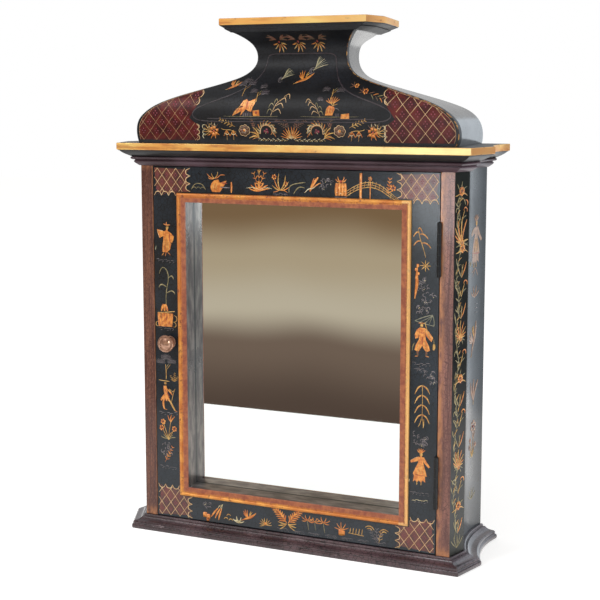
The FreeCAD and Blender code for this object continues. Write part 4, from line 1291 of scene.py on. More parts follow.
def cloud_tree(b, height=30.0, pads=((-7, 0.66, 7), (0, 0.84, 8), (8, 0.70, 7))):
    """A trunk under tufts of foliage: a dull pad each, under a bunch of fine strokes."""
    b.stroke("gold", [(0, 0), (0.6, height * 0.3), (-0.6, height * 0.62)], 1.2, 0.6)
    b.stroke("gold", [(0, height * 0.35), (4, height * 0.55), (6, height * 0.62)], 0.8)
    for u, v, r in pads:
        for lift in (0.15, 0.45):
            b.stroke("dusk", [(u - r * 0.8, v * height + r * lift),
                              (u, v * height + r * lift * 1.3),
                              (u + r * 0.8, v * height + r * lift)], r * 0.45, 0.4)
        for k in range(13):
            a = -10 + 200 * k / 12
            b.leaf("pale", u, v * height, a, r * random.uniform(0.75, 1.0), 0.75)
    b.leaf("olive", 1, height * 0.5, 60, 5, 1.2)


def cloud(b, width=18.0, height=14.0, count=16):
    """A bush of small curls and touches."""
    for k in range(count):
        u = random.uniform(-0.5, 0.5) * width
        v = random.uniform(0, 1) * height
        start = random.uniform(-60, 120)
        b.arc("pale", u, v, random.uniform(1.2, 2.6), start, start + 170, 0.9)
        if k % 3 == 0:
            b.dab("cream" if k % 2 else "pale", u * 0.8, v * 0.9, 1.1)


print("ferns, trees and bushes ready")

# %% Flowers
def flower_spray(b, height=34.0):
    """Three blooms and a bud on crossing stems."""
    for u, v in ((-9, 0.50), (-7, 0.74), (9, 0.50)):
        b.stroke("gold", [(1, 2), (u * 0.4, v * height * 0.5), (u, v * height)], 0.9, 0.7)
        b.bloom("bronze", u, v * height, 8.0, 6, "red")
    b.stroke("gold", [(0, 2), (2, height * 0.5), (4, height * 0.78)], 0.9, 0.7)
    for a in (55, 85, 115):
        b.leaf("bronze", 4, height * 0.74, a, 10, 2.6)
    for a, length in ((165, 11), (140, 9), (40, 9), (15, 11)):
        b.leaf("olive", 0, 3, a, length, 2.0)
    for a in (125, 60):
        b.leaf("gold", 0, 4, a, 10, 1.7)


def lotus(b):
    """A boat-shaped tuft of broad petals with three leafy stems."""
    for a, length, width in ((15, 15, 3.4), (35, 14, 4.2), (60, 12, 4.6), (90, 11, 5.0),
                             (120, 12, 4.6), (145, 14, 4.2), (165, 15, 3.4)):
        b.leaf("bronze", 0, 3, a, length, width)
    for a in (5, 175):
        b.leaf("cream", 0, 5, a, 18, 1.3, 0.25 if a < 90 else -0.25)
    for angle, length in ((112, 26), (90, 28), (70, 26)):
        b.sprig("bronze", 0, 7, angle, length * 0.8, 3, 5.0, 1.8)
        b.leaf("gold", 0, 7 + length * 0.7, angle, 5, 1.4)


def leaf_cluster(b):
    """Curved leaves round two small blooms."""
    for a, length in ((20, 12), (45, 15), (70, 19), (95, 20), (120, 15), (150, 12)):
        b.leaf("gold" if a % 20 else "bronze", 0, 4, a, length, 2.4, 0.2 if a > 90 else -0.2)
    for a in (-20, 200):
        b.leaf("bronze", 0, 5, a, 10, 2.0)
    b.bloom("bronze", -8, 20, 7, 6, "red")
    b.bloom("bronze", 7, 12, 6, 6, "red")
    ground(b, 18)


print("flowers ready")

# %% Low plants
def herb(b, height=24.0, paint_name="bronze"):
    """A low plant of upright leaves."""
    b.fan(paint_name, 0, 0, 5, 35, 145, height * 0.55, 1.9)
    b.sprig(paint_name, 0, 0, 84, height, 4, 5.5, 1.5)
    b.sprig("gold", -2, 0, 118, height * 0.75, 3, 4.5, 1.2)
    b.sprig("gold", 2, 0, 55, height * 0.75, 3, 4.5, 1.2)


def reeds(b, height=26.0):
    """A leaning stem whose long leaves arch over in pairs."""
    b.stroke("straw", [(0, 0), (4, height * 0.35), (9, height * 0.68), (19, height * 0.86)], 0.8,
             0.5)
    for u, v, way, reach in ((4, 0.16, -1, 9), (5, 0.16, 1, 8), (6, 0.42, -1, 9), (8, 0.42, 1, 8),
                             (10, 0.62, -1, 6), (13, 0.66, 1, 6), (17, 0.84, 1, 6)):
        b.stroke("straw" if way > 0 else "olive",
                 [(u - 2, v * height), (u + way * reach * 0.45, v * height + 4.5),
                  (u + way * reach * 0.85, v * height + 2.5),
                  (u + way * reach, v * height - 2)], 1.2, 0.3)


def palm(b, height=18.0):
    """A thin trunk under a crown of drooping leaves."""
    b.stroke("olive", [(2, 0), (0.5, height * 0.4), (0, height * 0.75)], 0.9, 0.7)
    for a, length in ((-15, 8), (20, 9), (60, 7), (115, 7), (155, 9), (195, 8)):
        b.leaf("bronze", 0, height * 0.75, a, length, 2.0, -0.3 if a < 90 else 0.3)


print("low plants ready")

# %% [markdown]
# ## Figures
#
# A figure is a flat painted robe with a few folds brushed over it, which is how such figures are
# built up: a solid touch of bronze first, then finer strokes in gold and red. The robe's flat
# shape is a field like the lattices' ground, and its head is one short stroke, a plain oval.

# %% Heads and flat shapes
def head(b, u, v, size=3.0):
    """A plain oval head."""
    b.stroke("gold", [(u, v - size * 0.35), (u, v), (u, v + size * 0.35)], size, 0.8)


SHAPES = 0


def painted_shape(b, outline, paint_name="bronze"):
    """A flat shape in one paint, placed like a stroke."""
    global SHAPES
    SHAPES += 1
    # On the sides the bronze takes the paler paint with the painted sheen.
    if b.surface.startswith("side"):
        paint_name = "faded"
    field("painted_shape_" + str(SHAPES), b.surface, [b.place(u, v) for u, v in outline],
          paint_name, strips=b.surface != "door")


print("heads and flat shapes ready")

# %% Robed and walking figures
def robed_figure(b):
    """A standing figure in a flared robe with wide sleeves and a small hat."""
    painted_shape(b, [(-2.8, 34.4), (2, 36), (6, 33.5), (7, 26), (8, 17), (6.5, 11), (2, 6.5),
                      (-5, 7.2), (-4.8, 14), (-3.4, 24)])
    painted_shape(b, [(-2.9, 34.4), (-8, 36.2), (-12.6, 37), (-11.4, 31), (-9, 25.3), (-6, 27),
                      (-3.4, 28)])
    painted_shape(b, [(6.1, 33.4), (9, 31.5), (12.2, 28), (11.2, 23), (9.2, 19.3), (7.4, 21),
                      (7, 27)])
    b.stroke("straw", [(-4, 35), (-12, 36.4), (-11, 31), (-9, 26)], 1.0, 0.6)
    b.stroke("red", [(5.4, 32), (5.8, 26), (6.8, 19)], 1.3, 0.3)
    for u, v, foot in ((-2, 24, 9), (1, 28, 8), (3.6, 22, 10)):
        b.stroke("gold", [(u, v), (u - 0.4, (v + foot) / 2), (u * 1.3, foot)], 1.7, 0.3)
    b.stroke("red", [(-0.6, 21), (-0.8, 15), (-1.4, 10)], 0.8, 0.3)
    b.stroke("bronze", [(2, 35), (2.2, 37), (2.4, 39)], 3.0, 0.8)
    head(b, 2.5, 39.4, 4.4)
    b.stroke("bronze", [(-2.6, 44.2), (1.8, 42.0), (6.6, 43.4)], 2.2, 0.4)
    b.leaf("bronze", 2, 41.8, 96, 5.4, 2.6)
    for u, a in ((-3, 235), (0, 262), (3, 318)):
        b.leaf("bronze", u, 6.5, a, 5, 1.7)
    b.leaf("sage", -15, 9, 80, 6, 2.2)


def walking_figure(b):
    """A figure in a flared coat and wide hat, striding with a staff."""
    b.stroke("bronze", [(-4, 33), (-3, 26), (-2, 19)], 7.0, 0.7)
    for u in (-9, -5, -1, 3):
        b.stroke("bronze", [(-3, 22), (u * 0.8 - 1, 17), (u - 1, 12.5)], 4.2, 0.6)
    b.stroke("bronze", [(-6, 14), (-8, 8), (-5, 1)], 4.6, 0.4)
    b.stroke("gold", [(2, 15), (6, 8), (11, 0)], 4.4, 0.35)
    b.leaf("bronze", -5, 1, -10, 4, 1.6)
    b.leaf("bronze", 10, 0, -15, 4, 1.6)
    b.stroke("bronze", [(-1, 29), (4, 25), (7, 21)], 2.8, 0.5)
    b.stroke("gold", [(5, 8), (7, 20), (11, 30)], 0.8, 0.8)
    for v, a in ((28, 130), (31, 150), (29, 30)):
        b.leaf("gold", 6, v - 4, a, 5, 1.5)
    b.stroke("red", [(-5, 30), (-1, 24), (3, 18)], 1.8, 0.3)
    head(b, -3.5, 36.5, 3.8)
    b.stroke("gold", [(-13, 40.5), (-4, 39.5), (3, 39.5)], 1.8, 0.3)


print("robed and walking figures ready")

# %% Parasol and headdress
def parasol_figure(b):
    """A figure in wide breeches under a tilted parasol, with a basket in one hand."""
    for points in ([(-9, 44), (2, 50), (12, 52)], [(12, 52), (15, 46), (14, 39)],
                   [(14, 39), (3, 41), (-9, 44)]):
        b.stroke("sage", points, 0.95, 0.8)
    for u, v in ((-3, 42.6), (3, 41.4), (8, 40.4)):
        b.line("sage", [(12, 51), (u, v)], 0.55)
    b.line("gold", [(3, 43), (5, 36), (9, 24)], 0.8)
    painted_shape(b, [(-3, 36.4), (3.4, 36), (3.8, 28), (4.4, 22), (8.2, 15), (9.6, 9.6),
                      (5.2, 7.2), (1.8, 11.6), (0.2, 15), (-1.6, 11.6), (-4.6, 7.2), (-9.2, 9),
                      (-7.8, 15), (-4, 22), (-3.8, 28)])
    painted_shape(b, [(3.5, 35.9), (8, 32), (13.2, 25), (11.4, 20), (8, 23), (4.2, 28)])
    painted_shape(b, [(-3.1, 36.3), (-6.8, 33.4), (-9, 28), (-8.4, 22.6), (-5, 24), (-4, 28)])
    for way in (-1, 1):
        b.stroke("leaf_brown", [(way * 5.6, 8.6), (way * 5.4, 5.4), (way * 5.2, 2.6)], 3.0, 0.7)
        b.leaf("bronze", way * 4.6, 2.2, 90 - way * 95, 4, 1.8)
        b.stroke("gold", [(way * 2.4, 20), (way * 5, 14), (way * 5.8, 9.4)], 1.6, 0.3)
    b.stroke("straw", [(4.2, 34), (8.6, 29), (12, 23)], 0.9, 0.4)
    b.line("olive", [(14, 23), (14.4, 18)], 0.7)
    b.stroke("gold", [(14.4, 18), (14.8, 14), (14, 10.5)], 5.4, 0.35)
    b.leaf("olive", -12, 8, 75, 10, 2.2)
    head(b, -0.6, 39, 4.2)
    b.stroke("bronze", [(-4.6, 41.4), (-0.6, 42.4), (3.4, 41)], 1.6, 0.4)
    b.stroke("red", [(-2.6, 31), (0.2, 28.6), (2.8, 31)], 1.0)
    b.stroke("red", [(0.2, 25), (0.4, 20), (0.2, 16)], 0.9)


def crowned_figure(b):
    """A figure in a flounced dress with arms held out and a flower headdress."""
    painted_shape(b, [(-2.6, 36.4), (4.8, 36.4), (4, 29), (6, 22), (8.6, 12.4), (6.4, 12),
                      (6.8, 4.4), (3.6, 6.8), (1.4, 3.4), (-1.4, 6.6), (-4, 3.4), (-6.2, 6.6),
                      (-9, 4.0), (-7.8, 12), (-9.2, 14.6), (-6, 22), (-2.4, 29)])
    painted_shape(b, [(-2.7, 36.4), (-7.6, 34), (-12.6, 30.4), (-11.8, 28), (-7.4, 29.4),
                      (-2.8, 31)])
    painted_shape(b, [(4.9, 36.2), (8, 31), (12.8, 24.6), (10.6, 23.2), (7, 27), (4.4, 30)])
    b.stroke("straw", [(-4, 35.8), (-8.4, 33.6), (-12.4, 30.6)], 0.9, 0.5)
    b.stroke("red", [(-8, 14), (0, 12.4), (7.6, 13)], 0.9)
    for u in (-2, 1, 4):
        b.stroke("gold", [(u * 0.6 + 0.6, 26), (u * 1.1, 20), (u * 1.5, 14)], 1.4, 0.3)
    for u in (-4, 1.4):
        b.leaf("gold", u, 4.4, 268, 4.0, 1.9)
    b.stroke("bronze", [(1, 36), (1.2, 37.4), (1.2, 38.6)], 3.0, 0.8)
    head(b, 1.2, 39.6, 4.4)
    for a in (42, 66, 90, 114, 138):
        b.leaf("bronze", 1.2, 40.6, a, 7, 2.6)
    b.leaf("cream", -14, 3, 80, 4, 1.8)


print("figures with a parasol and a headdress ready")

# %% Bird
def bird(b):
    """A bird in flight."""
    b.stroke("bronze", [(-8, -3), (-1, 0), (6, 3), (11, 8)], 4.4, 0.2)
    for a, length in ((95, 10), (112, 11), (128, 10), (142, 8)):
        b.leaf("bronze", 0, 1, a, length, 2.6)
    for a in (60, 75):
        b.leaf("gold", 2, 2, a, 8, 2.0)
    b.leaf("gold", -7, -3, 195, 3.5, 1.2)


print("bird ready")

# %% [markdown]
# ## Buildings, rocks and borders
#
# Between the figures stand huts, vessels, rocks and a bridge, and a border of flowers runs along
# the foot of the pediment. Rocks and roofs are flat shapes too, with strokes of light and shade
# over them. Each border flower is drawn once and turned over for the other half.

# %% Hut and vessels
def hut(b):
    """A rounded hut with a lean-to roof, a beam out to a post, and leaves over it."""
    painted_shape(b, [(-4.6, 0.5), (-7, 3.5), (-7.6, 7.5), (-6, 12), (-2.4, 15.4), (4, 16.8),
                      (15, 15.6), (14.6, 13.4), (5.6, 12.6), (5.8, 0.5)])
    for u, v in ((-3.6, 3), (0.4, 2.4)):
        b.leaf("gold", u, v, 82, 9, 1.8)
    b.leaf("red", -1.4, 4, 84, 7, 0.8)
    b.stroke("red", [(8, 13), (12, 12), (16, 12)], 1.6, 0.5)
    b.line("pale", [(7, 7), (14, 6.5), (20, 6.5)], 1.5)
    b.stroke("bronze", [(22, 0), (22.5, 7), (22, 14)], 4.2, 0.35)
    for a, length in ((30, 9), (60, 10), (150, 12), (175, 9), (120, 8)):
        b.leaf("bronze" if a % 60 else "gold", -2, 18, a, length, 2.0, -0.25 if a < 90 else 0.25)
    b.leaf("bronze", 5, 22, 5, 8, 2.2)


def pot(b):
    """A rounded pot with touches of cream and a plume of leaves."""
    for u in (-5, -1.7, 1.7, 5):
        b.stroke("bronze", [(u, 1.5), (u * 1.1, 8), (u * 0.9, 15)], 4.6, 0.7)
    for u, v in ((-4, 5), (0, 4), (4, 6), (-2, 10), (3, 11)):
        b.dab("cream", u, v, 1.3)
    for a in (30, 60, 120, 150):
        b.leaf("bronze", 0, 16, a, 7, 2.2, -0.3 if a < 90 else 0.3)
    b.dab("red", 0, 17, 3.2)
    b.line("pale", [(-7, 0), (0, -0.6), (7, 0)], 0.8)


def basket(b):
    """A broad basket with a domed load and scrolled handles."""
    for u, lean in ((-9, -0.6), (-5, 0.2), (-1, 0.0), (3, 0.3), (7, 0.8)):
        b.stroke("bronze", [(u, 1), (u + lean, 10), (u + lean * 2, 19)], 5.6, 0.85)
    for u, v, length in ((-6, 4, 5), (0, 9, 7), (5, 5, 5), (-3, 14, 4), (6, 14, 4)):
        b.leaf("red", u, v, 70, length, 1.8)
    b.line("gold", [(-12, 19), (0, 20), (13, 22)], 1.3)
    for way in (-1, 1):
        b.arc("gold", way * 12, 12, 4.5, 90, 90 - way * 200, 1.1)
        b.arc("gold", way * 12, 4, 3.2, 90, 90 - way * 200, 1.0)
    for u in (-3.5, 0, 3.5):
        b.stroke("bronze", [(u * 1.3 - 2, 22), (u - 2, 27), (u * 0.4 - 2, 31)], 4.4, 0.5)
    ground(b, 22)


print("hut and vessels ready")

# %% Post and rocks
def totem(b):
    """A twisted post, knotted at the top and thinning to its foot."""
    b.stroke("bronze", [(-2, 0), (-0.5, 10), (1, 20), (0, 30), (1, 40)], 4.4, 0.25)
    for u, v in ((1.5, 41), (-0.5, 36), (2, 31), (0, 26)):
        b.dab("bronze", u, v, 5.0)
    b.stroke("red", [(0, 38), (2, 33), (0, 28)], 0.9)
    b.stroke("red", [(1, 22), (-0.5, 14)], 0.8)


def arched_rock(b):
    """A leaning rock with a dark cave under it, and a small block beside it."""
    painted_shape(b, [(-18.7, 0.5), (-16, 6), (-12.5, 9.5), (-8, 14), (-4.5, 19.5), (0, 21.5),
                      (3, 18.5), (7, 20), (11.8, 22), (12, 16.5), (9, 11), (7.4, 5.5), (3.5, 6.5),
                      (0, 9), (-3.5, 12), (-6, 6.5), (-8, 0.5)])
    for u, v, a, length in ((-17, 2, 52, 9), (-12, 8, 45, 9), (-5, 14, 62, 7), (4, 9, 70, 10),
                            (8, 12, 66, 9), (-1, 13, 80, 7)):
        b.leaf("gold", u, v, a, length, 1.8)
    for u, v, a, length in ((-13, 3, 62, 9), (-7, 9, 66, 9), (1, 10, 84, 8), (6, 8, 72, 9)):
        b.leaf("red", u, v, a, length, 0.9)
    for u in (-4, -1.5, 1, 3.5, 6):
        b.line("dusk", [(u, 0), (u + 0.3, 5 + (u % 2))], 1.8)
        b.line("pale", [(u + 1.1, 0), (u + 1.3, 4)], 0.6)
    painted_shape(b, [(10, 0.5), (9.4, 7), (18, 8), (18.7, 0.5)])
    b.dab("red", 14, 4.4, 3.4)
    b.leaf("gold", 10.4, 6.6, 5, 7, 0.9)


def stepped_rock(b):
    """An upright rock under a tuft of leaves, a bare stem and a small block beside it."""
    painted_shape(b, [(-6.6, 0.5), (-4.5, 9.5), (-1.5, 12.5), (5, 11), (6, 8), (3, 0.5)])
    for u, v, a in ((-5.5, 2, 78), (-2, 3, 76), (1.5, 2, 74)):
        b.leaf("gold", u, v, a, 8, 1.3)
        b.leaf("red", u + 1.6, v + 1, a, 6, 0.8)
    for k in range(7):
        b.leaf("bronze", 1 + 0.6 * k, 15, 150 - 19 * k, 8.5, 1.9)
    for a in (20, 60, 110):
        b.leaf("gold", 3, 12, a, 7, 1.5)
    b.stroke("pale", [(5, 9), (10, 10), (12, 6)], 1.4)
    for u in (7, 9, 11):
        b.line("dusk", [(u, -1), (u + 0.6, 3)], 1.6)
    painted_shape(b, [(13.7, -3.6), (14.5, 2), (24.7, 3), (24.9, -4)])
    b.leaf("gold", 15, 1.4, 5, 8, 0.9)


print("post and rocks ready")

# %% Bridge
def bridge(b):
    """An arched bridge with railings and a mast."""
    for lift, width in ((0, 1.2), (3.2, 0.8), (6.4, 1.0)):
        b.stroke("gold", [(-33, 1 + lift), (-20, 10 + lift), (-2, 15 + lift), (14, 11 + lift),
                          (26, 2 + lift), (38, -3 + lift * 0.4)], width, 0.7)
    for k in range(12):
        u = -28 + 5 * k
        v = 15 - (u + 2) ** 2 / 56
        b.line("gold", [(u, v), (u + 1.5, v + 7)], 0.7)
    b.line("bronze", [(-13, -1), (-13, 16), (-12.5, 32)], 3.4)
    for v in (2, 8, 14, 20, 26):
        b.dab("cream", -12.8, v, 1.2)
    b.stroke("bronze", [(0, -1), (0, 12), (0, 22)], 1.8, 0.7)
    b.bloom("bronze", 0, 25, 6.0)


print("bridge ready")

# %% Border leaves
def frond(b):
    """A curled frond of pointed leaves over a small dark flower."""
    for k in range(11):
        a = 205 - 21 * k
        turn = math.radians(a)
        u, v = 7.5 * math.cos(turn), 9 + 7 * math.sin(turn)
        b.leaf("gold" if k % 2 else "bronze", u, v, a - 52, 6.5, 1.5)
        b.leaf("cream", u, v, a - 70, 3.6, 0.9)
        b.leaf("bronze", u, v, a - 120, 4.0, 1.2)
    b.arc("straw", 0, 9, 7.2, 200, -8, 1.2, 0.7)
    b.arc("cream", 1.5, 8.5, 9.2, 62, -14, 1.3, 0.2)
    for u, v in ((-1.8, 9), (0.6, 10.6), (1.4, 8)):
        b.dab("plum", u, v, 3.4)
    b.leaf("cream", 0, 9, 250, 3, 0.8)


def palmette(b):
    """The middle of the border: thin leaves that spread from a swag of small buds."""
    b.fan("bronze", 0, 3, 11, 10, 170, 15, 2.3, 0.1)
    b.fan("gold", 0, 3, 8, 22, 158, 11, 1.2, 0.1)
    b.fan("cream", 0, 2, 5, 40, 140, 5, 0.9, 0.1)
    for way in (-1, 1):
        sprig = Brush(b.surface, b.u, b.v, b.size, flip=way < 0)
        sprig.sprig("leaf_brown", 5, 16, 32, 18, 6, 5.0, 1.3)
        sprig.sprig("leaf_brown", 3, 15, 62, 12, 4, 4.0, 1.2)
        for k in range(13):
            u = 3.5 + 3.3 * k
            v = 0.6 + 0.0016 * (u - 20) ** 2
            sprig.leaf("cream", u, v, 28 - 62 * (k % 2), 3.6, 1.6)
            sprig.leaf("gold", u + 1.4, v - 0.8, -24 + 55 * (k % 2), 2.6, 1.0)


print("border leaves ready")

# %% Border flowers
def rose(b):
    """A full rust-red flower with pale outlines and leaves at both sides."""
    for k in range(7):
        a = 2 * math.pi * k / 7
        b.dab("leaf_brown", 3.6 * math.cos(a), 3.4 * math.sin(a), 5.2)
        b.arc("straw", 3.9 * math.cos(a), 3.7 * math.sin(a), 2.7, math.degrees(a) - 75,
              math.degrees(a) + 75, 0.8)
    b.dab("bronze", 0, 0, 4.4)
    b.arc("cream", 0, 0, 1.8, 20, 250, 0.7)


def drops(b):
    """Two small bell flowers that hang from a leafy twig."""
    b.sprig("gold", -7, 11, 24, 19, 5, 4.6, 1.4)
    b.stroke("gold", [(-8, 5), (-2, 8), (6, 7), (10, 9)], 0.8, 0.7)
    for u in (-5, 3):
        for a in (238, 270, 302):
            b.leaf("bronze", u, 7, a, 7.5, 2.0)
        b.arc("cream", u, 5, 2.8, 200, 340, 0.8)
        b.leaf("gold", u, 0, 262, 4, 0.9)


def cluster(b):
    """A flower of broad petals under a fan of leaves, with small hooks beside it."""
    b.fan("leaf_brown", -1, 9, 8, 15, 190, 11, 1.9)
    b.fan("gold", -3, 8, 6, 60, 215, 9, 1.7)
    for u, v in ((-6, 12), (-2, 15), (4, 14)):
        b.leaf("cream", u, v, 70 + 8 * u, 3.4, 1.2)
    b.bloom("bronze", 2, 8, 13, 6, "red")
    for a in (215, 250, 290, 330):
        b.leaf("bronze", 1, 8, a, 9, 2.3)
    for v in (2, 7, 13):
        b.arc("cream", -10, v, 2.6, 60, 250, 0.8)


print("border flowers ready")

# %% The whole border
def border(b):
    """The floral border along the foot of the pediment, the same on both sides."""
    palmette(b)
    for way in (-1, 1):
        frond(Brush(b.surface, b.u + way * 34, b.v + 1, 1.15, flip=way > 0))
        spray = Brush(b.surface, b.u + way * 44, b.v + 2, 1.15, flip=way < 0)
        for a, length in ((-8, 12), (25, 12), (55, 13)):
            spray.leaf("gold", 0, 2, a, length, 2.6, 0.2)
            spray.leaf("bronze", 0, 1, a - 8, length * 0.7, 1.3, 0.2)
        spray.leaf("leaf_brown", 6, 8, 75, 9, 1.6)
        spray.sprig("leaf_brown", 4, 12, 60, 10, 4, 4.0, 1.4)
        rose(Brush(b.surface, b.u + way * 64, b.v + 12, 1.15, flip=way < 0))
        drops(Brush(b.surface, b.u + way * 85, b.v + 4, 1.15, flip=way < 0))
        cluster(Brush(b.surface, b.u + way * 109, b.v + 2, 1.1, flip=way > 0))


print("border ready")

# %% Sprays under the cap
def hanging_spray(b):
    """A flower of drooping petals between broad dull leaves, hung from the cap."""
    for k, length in enumerate((5.5, 7, 8, 8, 7, 5.5)):
        a = 197 + 29 * k
        turn = math.radians(a)
        u, v = 2.0 * math.cos(turn), 8 + 2.0 * math.sin(turn)
        b.leaf("gold" if k % 2 else "bronze", u, v, a, length, 2.1)
        if 0 < k < 5:
            b.leaf("cream", u + length * 0.5 * math.cos(turn),
                   v + length * 0.5 * math.sin(turn), a, 2.6, 0.7)
    b.dab("red", 0, 8.4, 2.4)
    for way in (-1, 1):
        for lean, length in ((58, 8), (76, 10), (94, 8)):
            b.leaf("leaf_brown", way * 2, 10.5, 90 - way * lean, length, 2.6, 0.15 * way)


def plume(b):
    """A pale leaf of long fine strokes over a small curl."""
    for k in range(8):
        b.leaf("sage" if k % 3 else "cream", -8 + k * 0.5, k * 0.7, 22 + 8 * k, 19 - k, 1.2)
    for r in (2.0, 3.8):
        b.arc("pale", -8, 0, r, 40, 330, 0.9)


print("sprays ready")

# %% [markdown]
# ## The paintings in their places
#
# The motifs climb both stiles and run along both rails and the pediment, where the photographed
# cabinet has them. Places are millimetres in the frame: across from the middle, and up.

# %% Left stile
random.seed(21)
robed_figure(Brush("door", -177, 373))
ground(Brush("door", -178, 370), 26)
willow(Brush("door", -179, 307))
basket(Brush("door", -178, 279))
cloud_tree(Brush("door", -179, 208, 1.1))
herb(Brush("door", -167, 206, 0.55), 20, "gold")
walking_figure(Brush("door", -177, 166))
ground(Brush("door", -177, 163), 28)
flower_spray(Brush("door", -177, 123, 1.05))
cloud(Brush("door", -179, 103), 15, 17, 20)
Brush("door", -182, 94).sprig("bronze", 0, 0, 62, 24, 5, 5.0, 1.8)
ground(Brush("door", -178, 88), 26)
print("left stile painted")

# %% Right stile
reed_bough(Brush("door", 173, 390, 1.05))
Brush("door", 177, 380).fan("gold", 0, 0, 8, 0, 315, 7, 2.0, 0.0)
totem(Brush("door", 166, 339))
for u, v, wide, tall in ((175, 350, 13, 16), (182, 333, 16, 14), (175, 321, 15, 9)):
    cloud(Brush("door", u, v), wide, tall)
parasol_figure(Brush("door", 174, 266, 1.04))
ground(Brush("door", 173, 259), 22)
ground(Brush("door", 172, 252), 16)
cloud(Brush("door", 185, 234), 13, 15)
fern(Brush("door", 175, 176))
cloud(Brush("door", 174, 154), 19, 18, 26)
crowned_figure(Brush("door", 173.4, 105, 1.0))
ground(Brush("door", 172, 96), 24)
ground(Brush("door", 174, 86), 18, "cream")
print("right stile painted")

# %% Top rail
top = Brush("door", 0, 461)
top.arc("olive", -128, 1, 10.5, 12, 168, 0.9, 0.8)
for u in (-134, -128, -122):
    top.arc("olive", u, 3, 3.4, 20, 160, 0.8)
hut(Brush("door", -103, 461))
lotus(Brush("door", -42, 461))
leaf_cluster(Brush("door", -13, 462, 1.05))
top.stroke("olive", [(-1, 3), (-2, 9), (3, 13), (12, 15), (21, 16)], 1.5, 0.5)
top.stroke("olive", [(5, 1), (9, 8), (15, 11), (20, 9)], 1.9, 0.3)
top.stroke("cream", [(20, 3), (25, 9), (31, 8), (35, 12)], 1.5, 0.4)
top.leaf("bronze", 27, 5, 58, 21, 7.5)
for a in (35, 80):
    top.leaf("bronze", 30, 8, a, 14, 3.0)
cloud(Brush("door", 49, 469), 15, 14)
pot(Brush("door", 68, 460, 1.15))
bridge(Brush("door", 106, 460, 0.95))
top.sprig("bronze", 129, 2, 84, 21, 5, 5.0, 2.2)
top.bloom("bronze", 135, 12, 9, 6, "red")
print("top rail painted")

# %% Bottom rail
foot = Brush("door", 0, 22)
cloud(Brush("door", -122, 36), 15, 8, 10)
for u, v, size in ((-123, 6, 9.0), (-118, 4, 9.0), (-119, 0, 6.0)):
    foot.dab("bronze", u, v, size)
foot.stroke("red", [(-122, 9), (-120, 3), (-117, -2)], 1.0)
for u, v, a in ((-114, 4, 52), (-108, 3, 62), (-103, 1, 74)):
    foot.leaf("bronze", u, v, a, 17, 4.8, 0.05)
    reach = math.radians(a)
    foot.leaf("cream", u + 17 * math.cos(reach), v + 17 * math.sin(reach), a, 6, 2.0)
for u, v in ((-92, 3), (-88, 8), (-85, 2)):
    foot.arc("gold", u, v, 3, 20, 170, 1.4)
foot.fan("cream", -74, 1, 4, 20, 150, 9, 2.6)
foot.leaf("cream", -80, 4, -10, 11, 3.0)
bird(Brush("door", -60, 31, 1.05))
foot.fan("gold", -35, 4, 9, 0, 200, 9, 1.9)
foot.dab("bronze", -35, 5, 5.0)
for way in (-1, 1):
    wing = Brush("door", -4, 30, flip=way < 0)
    wing.sprig("bronze", 1, 2, 48, 25, 7, 8.5, 3.4)
    wing.leaf("bronze", 1, 2, 48, 27, 4.0)
    wing.fan("gold", 1, 1, 3, -40, 8, 12, 2.8)
for u, v, size in ((24, 27, 1.0), (34, 28, 0.85), (46, 26, 1.05)):
    palm(Brush("door", u, v, size))
foot.dab("bronze", 70, 8, 10.0)
foot.dab("bronze", 73, 8, 8.0)
foot.fan("bronze", 71, 12, 5, 20, 170, 10, 2.0)
for k in range(5):
    foot.line("gold", [(82 + 4 * k, 9), (83 + 4 * k, 16)], 0.9)
foot.line("gold", [(80, 9), (90, 8.4), (101, 7.5)], 0.9)
for radius in (4, 7):
    foot.arc("gold", 108, 15, radius, 20, 140, 1.5)
    foot.arc("gold", 128, 13, radius, 40, 160, 1.5)
for a in (60, 90, 120):
    foot.sprig("pale", 118, 2, a, 17, 4, 5.0, 1.4)
foot.sprig("gold", 121, 1, 80, 14, 3, 5.0, 1.3)
for k in range(7):
    ground(Brush("door", -10 + 22 * k, 23.5, 0.9), 16)
print("door strokes:", sum(len(made) for (name, _), made in STROKES.items() if name == "door"))

# %% [markdown]
# The pediment has a garden under three hanging sprays: two rocks with trees and reeds, birds over
# them, and the flower border below. All of it stands inside the bell-shaped line.

# %% Pediment paintings
random.seed(33)
for u in (-27, -1, 25):
    hanging_spray(Brush("pediment", u, 642, 1.25))
plume(Brush("pediment", -15, 605, 0.9))
plume(Brush("pediment", 26, 616, 1.1))
bird(Brush("pediment", 8, 604, 1.1))
bird(Brush("pediment", -84, 596, 0.85))
cloud_tree(Brush("pediment", -66, 584, 0.9), 24)
arched_rock(Brush("pediment", -58, 559))
cloud_tree(Brush("pediment", -45, 577), 20, ((-7, 0.62, 6), (4, 0.9, 6), (9, 0.5, 7)))
reeds(Brush("pediment", -24, 560, 1.05))
cloud_tree(Brush("pediment", 55, 579), 22, ((-10, 0.55, 6), (-14, 0.0, 5), (9, 0.5, 6.5)))
stepped_rock(Brush("pediment", 55, 560))
reeds(Brush("pediment", 42, 559, 0.85, flip=True))
pediment = Brush("pediment")
for u, v, size in ((83, 597, 8), (97, 590, 10)):
    pediment.bloom("bronze", u, v, size * 0.8, 6, "red")
    pediment.fan("leaf_brown", u - 3, v, 3, 110, 200, 6, 1.5)
for k in range(9):
    u, v = 102 + 3.0 * k, 587 - 1.0 * k
    if u < 124:
        pediment.leaf(("leaf_brown", "olive", "bronze")[k % 3], u, v, 15 - 70 * (k % 2), 7, 1.9)
for start, end in ((-90, -14), (16, 92)):
    for lift, shift in ((0, 0), (-3.5, 12)):
        pediment.stroke("olive", [(start + shift, 559 + lift), ((start + end) / 2, 558 + lift),
                                  (end - shift, 559 + lift)], 1.0, 0.2)
border(Brush("pediment", 3, 529, 0.97))
print("flat painted shapes:", SHAPES)

